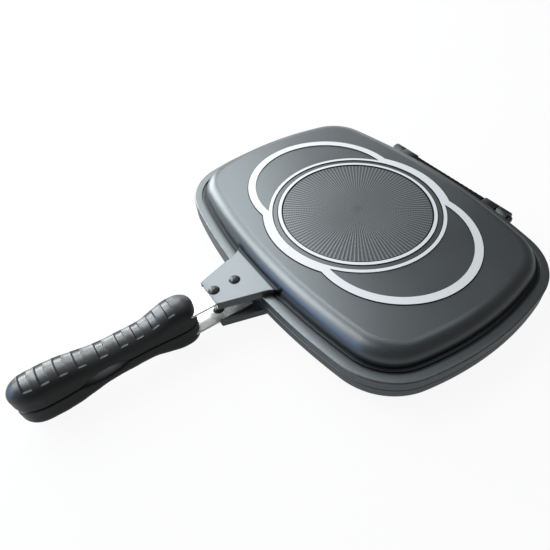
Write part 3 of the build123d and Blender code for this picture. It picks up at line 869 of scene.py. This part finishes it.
class Wire:
    """A socket that takes part in arithmetic: each operator adds one Math node."""

    def __init__(self, board, socket):
        self.board = board
        self.socket = socket

    def other(self, name):
        """Another output of the same node."""
        return Wire(self.board, self.socket.node.outputs[name])

    def math(self, operation, *values):
        """A Math node with this socket as its first input."""
        inputs = dict(enumerate((self, *values)))
        return self.board.add("ShaderNodeMath", {"operation": operation}, inputs)

    def __add__(self, value):
        return self.math("ADD", value)

    def __sub__(self, value):
        return self.math("SUBTRACT", value)

    def __mul__(self, value):
        return self.math("MULTIPLY", value)

    def __pow__(self, value):
        return self.math("POWER", value)

    __radd__ = __add__


class Board:
    """One material's nodes."""

    def __init__(self, name):
        self.material = bpy.data.materials.new(name + FINISH)
        self.material.use_nodes = True
        self.tree = self.material.node_tree
        self.shader = self.tree.nodes["Principled BSDF"]
        self.place = self.add("ShaderNodeTexCoord", {}, {}, "Object")

    def feed(self, socket, value):
        """Links a wire to the socket, or sets the socket's own value."""
        if isinstance(value, Wire):
            self.tree.links.new(value.socket, socket)
        elif isinstance(value, tuple) and len(value) == 3 and socket.type == "RGBA":
            socket.default_value = (*value, 1.0)
        else:
            socket.default_value = value

    def add(self, kind, settings, inputs, output=0):
        """A node with its settings and inputs; stops are a colour ramp's places and greys."""
        node = self.tree.nodes.new(kind)
        for key, value in settings.items():
            if key == "stops":
                ramp = node.color_ramp
                while len(ramp.elements) < len(value):
                    ramp.elements.new(0.5)
                for element, (position, shade) in zip(ramp.elements, value):
                    element.position = position
                    element.color = (shade, shade, shade, 1.0)
            else:
                setattr(node, key, value)
        for key, value in inputs.items():
            self.feed(node.inputs[key], value)
        return Wire(self, node.outputs[output])

    def noise(self, scale, detail, roughness, place=None):
        inputs = {"Vector": place or self.place, "Scale": scale, "Detail": detail,
                  "Roughness": roughness}
        return self.add("ShaderNodeTexNoise", {}, inputs)

    def ramp(self, value, *stops):
        return self.add("ShaderNodeValToRGB", {"stops": stops}, {0: value})

    def mix(self, share, first, second):
        settings = {"data_type": "RGBA", "clamp_factor": True}
        return self.add("ShaderNodeMix", settings, {0: share, 6: first, 7: second}, 2)

    def vector(self, x, y, z):
        return self.add("ShaderNodeCombineXYZ", {}, {0: x, 1: y, 2: z})

    def bump(self, height, strength, distance):
        inputs = {"Height": height, "Strength": strength, "Distance": distance}
        return self.add("ShaderNodeBump", {}, inputs)

    def split(self):
        """The place's x, whose node gives y and z too."""
        return self.add("ShaderNodeSeparateXYZ", {}, {0: self.place}, "X")

    def polar(self):
        """Distance from the z axis, and angle round it."""
        x = self.split()
        y = x.other("Y")
        return (x * x + y * y) ** 0.5, y.math("ARCTAN2", x)

    def smooth(self, value, start, end):
        """Smooth step from 0 at start to 1 at end."""
        settings = {"interpolation_type": "SMOOTHSTEP"}
        return self.add("ShaderNodeMapRange", settings, {0: value, 1: start, 2: end})

    def attribute(self, name):
        return self.add("ShaderNodeAttribute", {"attribute_name": name}, {}, "Fac")

    def finish(self, tone, roughness, relief=None, **inputs):
        """Sets the shader; relief is the height, strength and distance of the bump."""
        inputs.update(Base_Color=tone, Roughness=roughness)
        if relief:
            inputs["Normal"] = self.bump(*relief)
        for key, value in inputs.items():
            self.feed(self.shader.inputs[key.replace("_", " ")], value)
        return self.material


def scaled(shade, share=1.0):
    """A colour as a plain tuple, made darker or lighter."""
    return tuple(float(part * share) for part in shade)


def coating_material(finishes, name="coated_aluminium", rubbed=True, share=1.0):
    """Satin non-stick coating: fine grain, soft orange peel, clouded gloss, rubbed edges.

    A value below 0 in the wear and shade attribute paints a near-black shade.  A share below 1
    darkens the whole finish, a painted shade.
    """
    board = Board(name)
    grain = board.noise(2600.0, 3.0, 0.6)
    peel = board.noise(520.0, 2.0, 0.5)
    cloud = board.noise(16.0, 3.0, 0.5)
    fleck = board.ramp(board.noise(1500.0, 1.0, 0.4), (0.60, 0.0), (0.74, 1.0))
    light = grain * 0.35 + cloud * 0.25 + fleck * 0.22
    tone = board.mix(light, scaled(finishes.coating, share), scaled(finishes.coating_light, share))
    rough = 0.32 + grain * 0.07 + cloud * 0.05
    # The attribute holds the rubbed edges and the painted shade in the corner.
    if rubbed:
        rub = board.attribute("rub")
        patches = board.ramp(board.noise(240.0, 4.0, 0.7), (0.38, 0.0), (0.66, 1.0))
        worn = patches * rub.math("MAXIMUM", 0.0)
        tone = board.mix(worn * 0.5, tone, (0.36, 0.37, 0.38))
        # Painted shade: a value below 0 darkens the corner towards near black.
        tone = board.mix(rub * -1.0, tone, (0.036, 0.039, 0.042))
        rough = rough - worn * 0.08
    return board.finish(tone, rough, (grain * 0.5 + peel, 0.07, 0.0001), Metallic=0.9)


def shaded_coating(finishes):
    """The same coating without rubbed edges, darkened as a painted shade for the knuckles and the
    inside.
    """
    return coating_material(finishes, "coating_plain", rubbed=False, share=0.4)


def ear_material(finishes):
    """Brushed flat of the ears: a metallic sheen on top, the plain coating on the skirts.

    The flat begins a little under the ears' tops, measured from the middle of the closed pan,
    and a painted shade darkens the band next to the wall.
    """
    middle, flat_start, flat_end = 27.6 * MM, 14.8 * MM, 15.8 * MM
    shade_start, shade_end = -121.5 * MM, -119.5 * MM
    board = Board("ear")
    x = board.split()
    level = (x.other("Z") - middle).math("ABSOLUTE")
    flat = board.smooth(level, flat_start, flat_end)
    brush = board.noise(1.0, 3.0, 0.6, board.vector(x * 300.0, x.other("Y") * 5200.0, 0.0))
    grain = board.noise(2600.0, 3.0, 0.6)
    bright = board.mix(brush, scaled(finishes.ear), scaled(finishes.ear, 0.7))
    tone = board.mix(flat, scaled(finishes.coating), bright)
    # Painted shade: the band next to the wall turns near black.
    inner = board.smooth(x.other("Y"), shade_start, shade_end)
    tone = board.mix(inner, tone, (0.026, 0.028, 0.031))
    rough = 0.30 + grain * 0.07 + brush * 0.06
    return board.finish(tone, rough, (brush * flat + grain * 0.5, 0.12, 0.00008), Metallic=0.9)


def rayed_material(finishes, rings):
    """Coating over the rayed disc: fine circles cross the rays, and a painted shade darkens the rim
    next to the disc's ring.
    """
    circle_pitch, fade_start, fade_end = 1.65 * MM, -12 * MM, 10 * MM
    rim_shade_start, rim_shade_end = rings.disc_inner - 1.9 * MM, rings.disc_inner - 1.1 * MM
    board = Board("rayed_coating")
    radius, angle = board.polar()
    circles = (radius * (2 * np.pi / circle_pitch)).math("SINE") * 0.5 + 0.5
    rays = (angle * float(rings.rays)).math("COSINE") * 0.5 + 0.5
    reach = board.smooth(radius, fade_start, fade_end)
    crest = rays.math("POWER", 3.0)
    mesh = (circles * 0.35 + crest * 0.65) * reach
    grain = board.noise(2600.0, 3.0, 0.6)
    tone = board.mix(mesh, scaled(finishes.coating, 0.34), scaled(finishes.coating_light, 1.5))
    # Painted shade: the rim next to the disc's ring turns near black.
    tone = board.mix(board.smooth(radius, rim_shade_start, rim_shade_end), tone, (0.012, 0.013, 0.014))
    relief = (mesh + grain * 0.12, 0.25, 0.0001)
    rough = 0.36 + grain * 0.06 - mesh * 0.05
    return board.finish(tone, rough, relief, Metallic=0.5, Specular_IOR_Level=0.6)


def painted_shadow_material(finishes):
    """Painted shadow for the sides of the rings and for the back lip: near black and dull, with a
    faint grain.
    """
    board = Board("ring_foot")
    grain = board.noise(1800.0, 3.0, 0.6)
    tone = board.mix(grain * 0.5, (0.004, 0.004, 0.0045), scaled(finishes.coating, 0.09))
    rough = 0.75 + grain * 0.15
    return board.finish(tone, rough, (grain, 0.2, 0.0001), Specular_IOR_Level=0.12)


def machined_material(finishes):
    """Face-turned aluminium: fine circular tool marks, cloudy sheen, a few dull patches."""
    board = Board("machined_aluminium")
    radius, angle = board.polar()
    streak = board.noise(1.0, 3.0, 0.6, board.vector(radius * 2600.0, angle * 9.0, 0.0))
    cloud = board.noise(60.0, 3.0, 0.55)
    tint = board.noise(11.0, 1.0, 0.5)
    light = scaled(finishes.aluminium)
    tone = board.mix(streak * 0.35 + cloud * 0.25, light, (0.70, 0.71, 0.725))
    tone = board.mix(board.ramp(tint, (0.42, 0.0), (0.68, 0.35)), tone, (0.74, 0.77, 0.85))
    rough = 0.55 + streak * 0.12 + cloud * 0.06
    return board.finish(tone, rough, (streak, 0.10, 0.00005), Metallic=0.5)


def polished_material(finishes):
    """Polished strip steel: faint lengthwise polishing lines and a soft smear of haze."""
    board = Board("polished_steel")
    x = board.split()
    line = board.noise(1.0, 4.0, 0.65, board.vector(x * 3800.0, x.other("Y") * 40.0, 0.0))
    haze = board.noise(70.0, 3.0, 0.5)
    tone = board.mix(line * 0.3 + haze * 0.2, scaled(finishes.steel), (0.72, 0.72, 0.71))
    rough = 0.16 + line * 0.10 + haze * 0.10
    return board.finish(tone, rough, (line, 0.05, 0.00004), Metallic=0.65)


def dark_steel_material(name, base, roughness):
    """Blackened steel: mottled oxide with a slight hammered unevenness."""
    board = Board(name)
    mottle = board.noise(900.0, 4.0, 0.6)
    dent = board.noise(320.0, 2.0, 0.5)
    lighter = tuple(part * 2.1 + 0.01 for part in base)
    tone = board.mix(mottle, scaled(base), lighter)
    rough = roughness + mottle * 0.12
    return board.finish(tone, rough, (dent + mottle * 0.3, 0.22, 0.00012), Metallic=0.55)


def grip_material(finishes):
    """Moulded black grip: fine spark texture, with a painted sheen along the crest: a lighter,
    metallic tone.
    """
    painted_sheen_edge, painted_sheen_middle = 13 * MM, 5 * MM
    board = Board("grip")
    spark = board.noise(2900.0, 3.0, 0.65)
    sheen = board.noise(34.0, 2.0, 0.5)
    stretched = board.add("ShaderNodeVectorMath", {"operation": "MULTIPLY"},
                          {0: board.place, 1: (260.0, 24.0, 260.0)})
    flow = board.noise(1.0, 2.0, 0.5, stretched)
    tone = board.mix(spark * 0.5 + flow * 0.4, scaled(finishes.grip), scaled(finishes.grip, 1.8))
    # Painted sheen: near the crest the grip turns lighter and metallic.
    worn = board.smooth(board.split().math("ABSOLUTE"), painted_sheen_edge, painted_sheen_middle)
    tone = board.mix(worn, tone, scaled(finishes.painted_grip_sheen))
    metal = worn * 0.85
    rough = 0.42 + spark * 0.10 + sheen * 0.06 - worn * 0.08
    relief = (spark + flow * 0.4, 0.12, 0.0001)
    return board.finish(tone, rough, relief, Metallic=metal, Specular_IOR_Level=0.45)


def rubber_material(finishes):
    """Silicone seal: dull, with a faint moulding bloom and dust specks."""
    board = Board("seal")
    bloom = board.noise(120.0, 4.0, 0.6)
    speck = board.ramp(board.noise(1900.0, 2.0, 0.5), (0.66, 0.0), (0.8, 1.0))
    tone = board.mix(bloom * 0.5 + speck * 0.4, scaled(finishes.seal), (0.12, 0.12, 0.125))
    return board.finish(tone, 0.55 + bloom * 0.15, (bloom + speck * 0.3, 0.15, 0.0001))


def bright_metal_material(name, base, roughness):
    """Small plated or turned hardware with fine tool marks and slight tarnish."""
    board = Board(name)
    mark = board.noise(1400.0, 3.0, 0.6)
    tarnish = board.noise(180.0, 3.0, 0.6)
    tone = board.mix(mark * 0.3 + tarnish * 0.4, scaled(base), scaled(base, 0.62))
    return board.finish(tone, roughness + mark * 0.12, (mark, 0.12, 0.00005), Metallic=1.0)


def floor_material(stage):
    """Matt grey floor that is white for the camera, paler in reflections, and keeps its shadow."""
    glow_strength, glow_share, mirror_share = 1.15, 0.8, 0.25
    board = Board("studio_floor")
    path = board.add("ShaderNodeLightPath", {}, {}, "Is Camera Ray")
    seen = path.math("MAXIMUM", path.other("Is Transmission Ray"))
    seen = seen.math("MAXIMUM", path.other("Is Glossy Ray") * mirror_share)
    grain = board.noise(40.0, 3.0, 0.5)
    board.finish(board.mix(grain * 0.3, scaled(stage.floor), (0.36, 0.36, 0.36)), 0.8)
    glow = board.add("ShaderNodeEmission", {}, {"Color": WHITE, "Strength": glow_strength})
    body = Wire(board, board.shader.outputs[0])
    both = board.add("ShaderNodeMixShader", {}, {0: seen * glow_share, 1: body, 2: glow})
    board.tree.links.new(both.socket, board.tree.nodes["Material Output"].inputs["Surface"])
    return board.material


def world_material(stage):
    """Even light from all round; white where the camera looks past the floor."""
    world = bpy.data.worlds.new("studio_world")
    world.use_nodes = True
    tree = world.node_tree
    back = tree.nodes["Background"]
    back.inputs["Color"].default_value = (*WHITE, 1.0)
    path = tree.nodes.new("ShaderNodeLightPath")
    level = tree.nodes.new("ShaderNodeMapRange")
    level.inputs["To Min"].default_value = stage.world
    level.inputs["To Max"].default_value = 1.0
    tree.links.new(path.outputs["Is Camera Ray"], level.inputs["Value"])
    tree.links.new(level.outputs[0], back.inputs["Strength"])
    bpy.context.scene.world = world


def settings():
    """The scene's property groups."""
    scene = bpy.context.scene
    return (scene.flip_pan_casting, scene.flip_pan_rings, scene.flip_pan_ear,
            scene.flip_pan_hinge, scene.flip_pan_handle, scene.flip_pan_finishes)


def shared(name, make, *values):
    """The named finish, made once; the frame's own materials have other names."""
    return bpy.data.materials.get(name + FINISH) or make(*values)


def dress(node, finish):
    """Gives one of the frame's own pieces a finish."""
    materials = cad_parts[node].data.materials
    materials.clear()
    materials.append(finish)


# ---------------------------------------------------------------- operators


class FLIPPAN_OT_stage(bpy.types.Operator):
    """Lay the floor, set the lamps and place the camera"""

    bl_idname = "flippan.stage"
    bl_label = "Stage"

    def execute(self, context):
        stage = context.scene.flip_pan_stage
        view = context.scene.view_settings
        view.view_transform = "Standard"
        mesh = bpy.data.meshes.new("floor")
        reach = 6.0
        corners = [(x * reach, y * reach, 0) for x, y in ((-1, -1), (1, -1), (1, 1), (-1, 1))]
        mesh.from_pydata(corners, [], [(0, 1, 2, 3)])
        mesh.materials.append(floor_material(stage))
        floor = bpy.data.objects.new("floor", mesh)
        context.scene.collection.objects.link(floor)
        world_material(stage)
        cool, blue = (0.95, 1.0, 1.0), (0.25, 0.5, 1.0)
        for name, azimuth, height, size, tint in (
            ("key", 225, 44, (0.72, 0.85), cool),
            ("middle", 195, 46, (0.60, 0.72), cool),
            ("low", 195, 15, (0.78, 0.69), cool),
            ("left", 165, 52, (0.50, 1.20), cool),
            ("back", 145, 15, (1.40, 0.60), cool),
            ("front", 255, 42, (0.60, 1.30), cool),
            ("top", 68, 66, (0.50, 0.50), cool),
            ("fill", 253, 10, (1.20, 0.30), blue),
        ):
            self.lamp(context, name, azimuth, height, size, getattr(stage, name), tint)
        self.camera(context, stage)
        return {"FINISHED"}

    @staticmethod
    def camera(context, stage):
        """The camera in front of the pan's right end, looking down across it."""
        camera = bpy.data.cameras.new("camera")
        camera.lens = stage.lens
        camera.sensor_width = 36.0
        camera.shift_x = -0.07106
        camera.shift_y = -0.01932
        camera.clip_start = 0.01
        seat = bpy.data.objects.new("camera", camera)
        place = (0.269456, -0.247539, 0.35223)
        right = Vector((0.594119, 0.804271, -0.013041)).normalized()
        forward = Vector((-0.563856, 0.404851, -0.719835))
        forward = (forward - right * forward.dot(right)).normalized()
        up = right.cross(forward)
        turn = Matrix((right, up, -forward)).transposed().to_4x4()
        seat.matrix_world = Matrix.Translation(place) @ turn
        context.scene.collection.objects.link(seat)
        context.scene.camera = seat

    @staticmethod
    def lamp(context, name, azimuth, height, size, power, tint):
        """One rectangular soft lamp that looks at the pan's middle; angles in degrees."""
        light = bpy.data.lights.new(name, "AREA")
        light.shape = "RECTANGLE"
        light.size, light.size_y = size
        light.energy = power
        light.color = tint
        round_it, up = np.radians([azimuth, height])
        level = np.cos(up)
        towards = np.array([level * np.cos(round_it), level * np.sin(round_it), np.sin(up)])
        lamp = bpy.data.objects.new(name, light)
        lamp.location = LAMP_DISTANCE * towards
        aim = Vector((0.0, 0.0, PAN_MIDDLE)) - Vector(LAMP_DISTANCE * towards)
        lamp.rotation_euler = aim.to_track_quat("-Z", "Y").to_euler()
        context.scene.collection.objects.link(lamp)


class FLIPPAN_OT_shells(bpy.types.Operator):
    """Build the two cast shells with flange, drip groove and cavity"""

    bl_idname = "flippan.shells"
    bl_label = "Cast shells"

    def execute(self, context):
        casting, *_, finishes = settings()
        finish = shared("coated_aluminium", coating_material, finishes)
        for half in HALVES:
            profile, shares = shell_profile(casting, half)
            points = around_outline(casting, profile, shares)
            build_on(half, "shell", surface(points), finish, "pan",
                     rub=shell_wear_and_shade(casting, points), slot="coated_aluminium")
        return {"FINISHED"}


class FLIPPAN_OT_rings(bpy.types.Operator):
    """Build the polished rings and the rayed discs"""

    bl_idname = "flippan.rings"
    bl_label = "Rings and discs"

    def execute(self, context):
        casting, rings, *_, finishes = settings()
        machined = shared("machined_aluminium", machined_material, finishes)
        rayed = shared("rayed_coating", rayed_material, finishes, rings)
        # Painted shadow: the sides of the rings get a near-black finish.
        black = shared("ring_foot", painted_shadow_material, finishes)
        for half in HALVES:
            for name, shape in (("rings", ring_tracery), ("disc_ring", disc_ring)):
                build_on(half, name, shape(casting, rings), machined, "pan",
                         slot="polished_steel", sides=black)
            build_on(half, "rayed_disc", rayed_disc(casting, rings), rayed, "pan", crease=80,
                     slot="coated_aluminium")
        return {"FINISHED"}


class FLIPPAN_OT_ears(bpy.types.Operator):
    """Build the ears that carry the handle straps"""

    bl_idname = "flippan.ears"
    bl_label = "Ears"

    def execute(self, context):
        casting, _, ear, *_, finishes = settings()
        finish = shared("ear", ear_material, finishes)
        for half in HALVES:
            build_on(half, "ear", ear_shape(casting, ear), finish, "pan", slot="coated_aluminium")
        return {"FINISHED"}


class FLIPPAN_OT_hinge(bpy.types.Operator):
    """Build the hinge knuckles, the back lip and the pins, and finish the clips"""

    bl_idname = "flippan.hinge"
    bl_label = "Hinge"

    def execute(self, context):
        casting, _, _, hinge, _, finishes = settings()
        # Painted shade: the knuckles get the darkened copy of the coating.
        finish = shared("coating_plain", shaded_coating, finishes)
        outer = hinge.inner_start + hinge.inner_length + hinge.gap
        for half, start, size in (("upper", hinge.inner_start, hinge.inner_length),
                                  ("lower", outer, hinge.outer_length)):
            for name, begin in (("right", start), ("left", -start - size)):
                build_on(half, f"{name}_knuckle", knuckle_shape(casting, hinge, begin, size),
                         finish, "pan", slot="coated_aluminium")
        # Painted shadow: the back lip gets the same near-black finish.
        black = shared("ring_foot", painted_shadow_material, finishes)
        build("back_lip", lip_shape(casting, hinge), black, "upper_half", ["upper_pan"],
              half="upper", slot="coated_aluminium")
        steel = shared("hinge_steel", dark_steel_material, "hinge_steel", finishes.hinge, 0.34)
        clip = shared("clip_steel", bright_metal_material, "clip_steel", (0.42, 0.42, 0.43), 0.35)
        for name in ("left", "right"):
            self.turned_pin(casting, hinge, name, steel)
            dress(f"{name}_pin_clip", clip)
        return {"FINISHED"}

    @staticmethod
    def turned_pin(casting, hinge, name, finish):
        """A pin along x with a domed head; its length is the frame's own."""
        node = f"{name}_hinge_pin"
        low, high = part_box(node)
        neck = high.x - hinge.head_length
        end = low.x - neck
        soft, dome = 0.3 * MM, 1.4 * MM
        crown = arc((0, 0), 1.0, 90, 0, 10)
        head = np.stack([hinge.head - dome * (1 - crown[:, 1]),
                         hinge.head_length - dome * (1 - crown[:, 0])], -1)
        profile = np.concatenate([
            [(0, end), (hinge.pin - soft, end), (hinge.pin, end + soft)],
            [(hinge.pin, 0), (hinge.head - soft, 0), (hinge.head, soft)],
            head, [(0, hinge.head_length)],
        ])
        axis_y = casting.width / 2 + hinge.setback
        axis_z = casting.depth + casting.rim_gap / 2
        points = revolve(profile, 48)[..., [2, 0, 1]] + (neck, axis_y, axis_z)
        build(f"{name}_turned_pin", surface(points), finish, "lower_half", [node],
              slot="hinge_steel")


class FLIPPAN_OT_straps(bpy.types.Operator):
    """Build the steel straps and the rivets that hold them"""

    bl_idname = "flippan.straps"
    bl_label = "Straps and rivets"

    def execute(self, context):
        _, _, ear, _, handle, finishes = settings()
        steel = shared("polished_steel", polished_material, finishes)
        dark = shared("dark_rivet", dark_steel_material, "dark_rivet", finishes.rivet, 0.20)
        high = ear.top - ear.plate
        low = high - handle.strap_thickness
        corner = 1.2 * MM
        turn = np.linspace(0, np.pi / 2, 6)
        soft = corner * (1 - np.cos(turn))
        pull = corner * (1 - np.sin(turn))
        start, shoulder, end = handle.strap_start, handle.strap_shoulder, handle.tongue_end
        place = np.concatenate([
            start + soft, np.linspace(start + 3 * MM, shoulder - 2 * MM, 8), shoulder - soft[::-1],
            [shoulder + 1e-6], np.linspace(shoulder + MM, end - 2 * MM, 5), end - soft[::-1],
        ])
        wide, narrow = handle.strap_width / 2, handle.tongue_width / 2
        half_width = np.concatenate([
            wide - pull, np.full(8, wide), wide - pull[::-1], np.full(6, narrow),
            narrow - pull[::-1],
        ])
        rivets = {"front": handle.rivet_front, "rear": handle.rivet_front - handle.rivet_pitch}
        for half in HALVES:
            build_on(half, "strip", bar_shape(place, half_width, low, high), steel, "strap",
                     slot="polished_steel")
            for name, spot in rivets.items():
                points = revolve(rivet_profile(handle, low, ear.top), 56) - (0, spot, 0)
                build_on(half, f"{name}_domed_rivet", surface(points), dark, f"{name}_rivet",
                         slot="dark_rivet")
        return {"FINISHED"}


class FLIPPAN_OT_grips(bpy.types.Operator):
    """Build the moulded grips, with pockets for the screws and the magnet"""

    bl_idname = "flippan.grips"
    bl_label = "Grips"

    def execute(self, context):
        *_, handle, finishes = settings()
        finish = shared("grip", grip_material, finishes)
        for half in HALVES:
            piece = build_on(half, "grip", grip_shape(handle), finish, "handle", slot="grip")
            cutter = self.pockets(half)
            cut = piece.modifiers.new("pockets", "BOOLEAN")
            cut.operation = "DIFFERENCE"
            cut.solver = "EXACT"
            cut.object = cutter
            context.view_layer.update()
            ready = piece.evaluated_get(context.evaluated_depsgraph_get())
            carved = bpy.data.meshes.new_from_object(ready)
            piece.modifiers.clear()
            piece.data = carved
            carved.name = piece.name
            bpy.data.objects.remove(cutter)
        return {"FINISHED"}

    @staticmethod
    def pockets(half):
        """Round cutters a little wider than the screw heads and the magnet of this half."""
        side = 1 if half == "upper" else -1
        head, play, outside = 2.4 * MM, 0.1 * MM, 6 * MM
        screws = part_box(f"{half}_handle_screws")
        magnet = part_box(f"{half}_magnet")
        radius = (screws[1].x - screws[0].x) / 2
        inner = screws[0].z if side > 0 else screws[1].z
        top = magnet[1].z if side > 0 else magnet[0].z
        start = inner - side * outside
        chunks = []
        for y, size, deep in (
            (screws[0].y + radius, radius, inner + side * head),
            (screws[1].y - radius, radius, inner + side * head),
            ((magnet[0].y + magnet[1].y) / 2, (magnet[1].x - magnet[0].x) / 2, top),
        ):
            wide = size + play
            profile = np.array([(0, start), (wide, start), (wide, deep), (0, deep)])
            chunks.append(surface(revolve(profile, 48) + (0, y, 0)))
        mesh, _ = solid_mesh("pockets", *join(*chunks))
        cutter = bpy.data.objects.new("pockets", mesh)
        bpy.context.scene.collection.objects.link(cutter)
        return cutter


class FLIPPAN_OT_inside(bpy.types.Operator):
    """Build the grill ribs and the seal, and finish the small hardware"""

    bl_idname = "flippan.inside"
    bl_label = "Ribs, seal and hardware"

    def execute(self, context):
        casting, *_, finishes = settings()
        self.ribs(casting, shared("coating_plain", shaded_coating, finishes))
        self.seal(casting, shared("seal", rubber_material, finishes))
        for node, name, base, roughness in (
            ("handle_screws", "screw_steel", (0.55, 0.55, 0.56), 0.3),
            ("handle_inserts", "brass", finishes.brass, 0.3),
            ("magnet", "magnet", (0.62, 0.62, 0.63), 0.22),
        ):
            metal = shared(name, bright_metal_material, name, base, roughness)
            for half in HALVES:
                dress(f"{half}_{node}", metal)
        return {"FINISHED"}

    @staticmethod
    def ribs(casting, finish):
        """Grill ribs across the lower floor; towards the ends they follow the outline."""
        each_side, pitch = 7, 16.0 * MM
        length, shorter, half_width, height = 176.0 * MM, 26.0 * MM, 1.8 * MM, 2.6 * MM
        floor = casting.depth - casting.rise - casting.wall
        chunks = []
        for place in range(-each_side, each_side + 1):
            half_length = (length - shorter * (place / each_side) ** 2) / 2
            chunks.append(rib_shape(place * pitch, half_length, half_width, floor, height))
        build("grill_ribs", join(*chunks), finish, "lower_half", ["lower_pan"], half="lower",
              crease=40, slot="coated_aluminium")

    @staticmethod
    def seal(casting, finish):
        """The seal ring, a little narrower than its groove and proud of the rim."""
        play, soft = 0.1 * MM, 0.45 * MM
        outer = casting.seal_inset + play
        inner = casting.seal_inset + casting.seal_width - play
        deep = casting.seal_depth - play
        crest = soft - (casting.rim_gap - play)
        profile = np.concatenate([
            [(outer, deep)], arc((outer + soft, crest), soft, 180, 270, 5),
            arc((inner - soft, crest), soft, 270, 360, 5), [(inner, deep)],
        ])
        build("seal_ring", surface(around_outline(casting, profile), close_rows=True), finish,
              "lower_half", ["rim_seal"], half="lower", slot="seal")


class FLIPPAN_PT_sidebar(bpy.types.Panel):
    """Sizes, finishes and build steps of the flip pan"""

    bl_idname = "FLIPPAN_PT_sidebar"
    bl_label = "Flip Pan"
    bl_space_type = "VIEW_3D"
    bl_region_type = "UI"
    bl_category = "Flip Pan"

    def draw(self, context):
        for kind in OPERATORS:
            self.layout.operator(kind.bl_idname)
        for name, group in GROUPS.items():
            box = self.layout.box()
            box.label(text=name.replace("flip_pan_", "").capitalize())
            for key in group.__annotations__:
                box.prop(getattr(context.scene, name), key, text=key.replace("_", " ").capitalize())


GROUPS = {
    "flip_pan_casting": FlipPanCasting,
    "flip_pan_rings": FlipPanRings,
    "flip_pan_ear": FlipPanEar,
    "flip_pan_hinge": FlipPanHinge,
    "flip_pan_handle": FlipPanHandle,
    "flip_pan_finishes": FlipPanFinishes,
    "flip_pan_stage": FlipPanStage,
}
OPERATORS = (
    FLIPPAN_OT_stage,
    FLIPPAN_OT_shells,
    FLIPPAN_OT_rings,
    FLIPPAN_OT_ears,
    FLIPPAN_OT_hinge,
    FLIPPAN_OT_straps,
    FLIPPAN_OT_grips,
    FLIPPAN_OT_inside,
)


def register():
    for group in GROUPS.values():
        bpy.utils.register_class(group)
    for name, group in GROUPS.items():
        setattr(bpy.types.Scene, name, PointerProperty(type=group))
    for kind in (*OPERATORS, FLIPPAN_PT_sidebar):
        bpy.utils.register_class(kind)


def unregister():
    for kind in (FLIPPAN_PT_sidebar, *reversed(OPERATORS)):
        bpy.utils.unregister_class(kind)
    for name in GROUPS:
        delattr(bpy.types.Scene, name)
    for group in GROUPS.values():
        bpy.utils.unregister_class(group)


def main():
    """Registers the add-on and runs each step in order."""
    register()
    for kind in OPERATORS:
        group, step = kind.bl_idname.split(".")
        getattr(getattr(bpy.ops, group), step)()


if __name__ == "__main__":
    main()
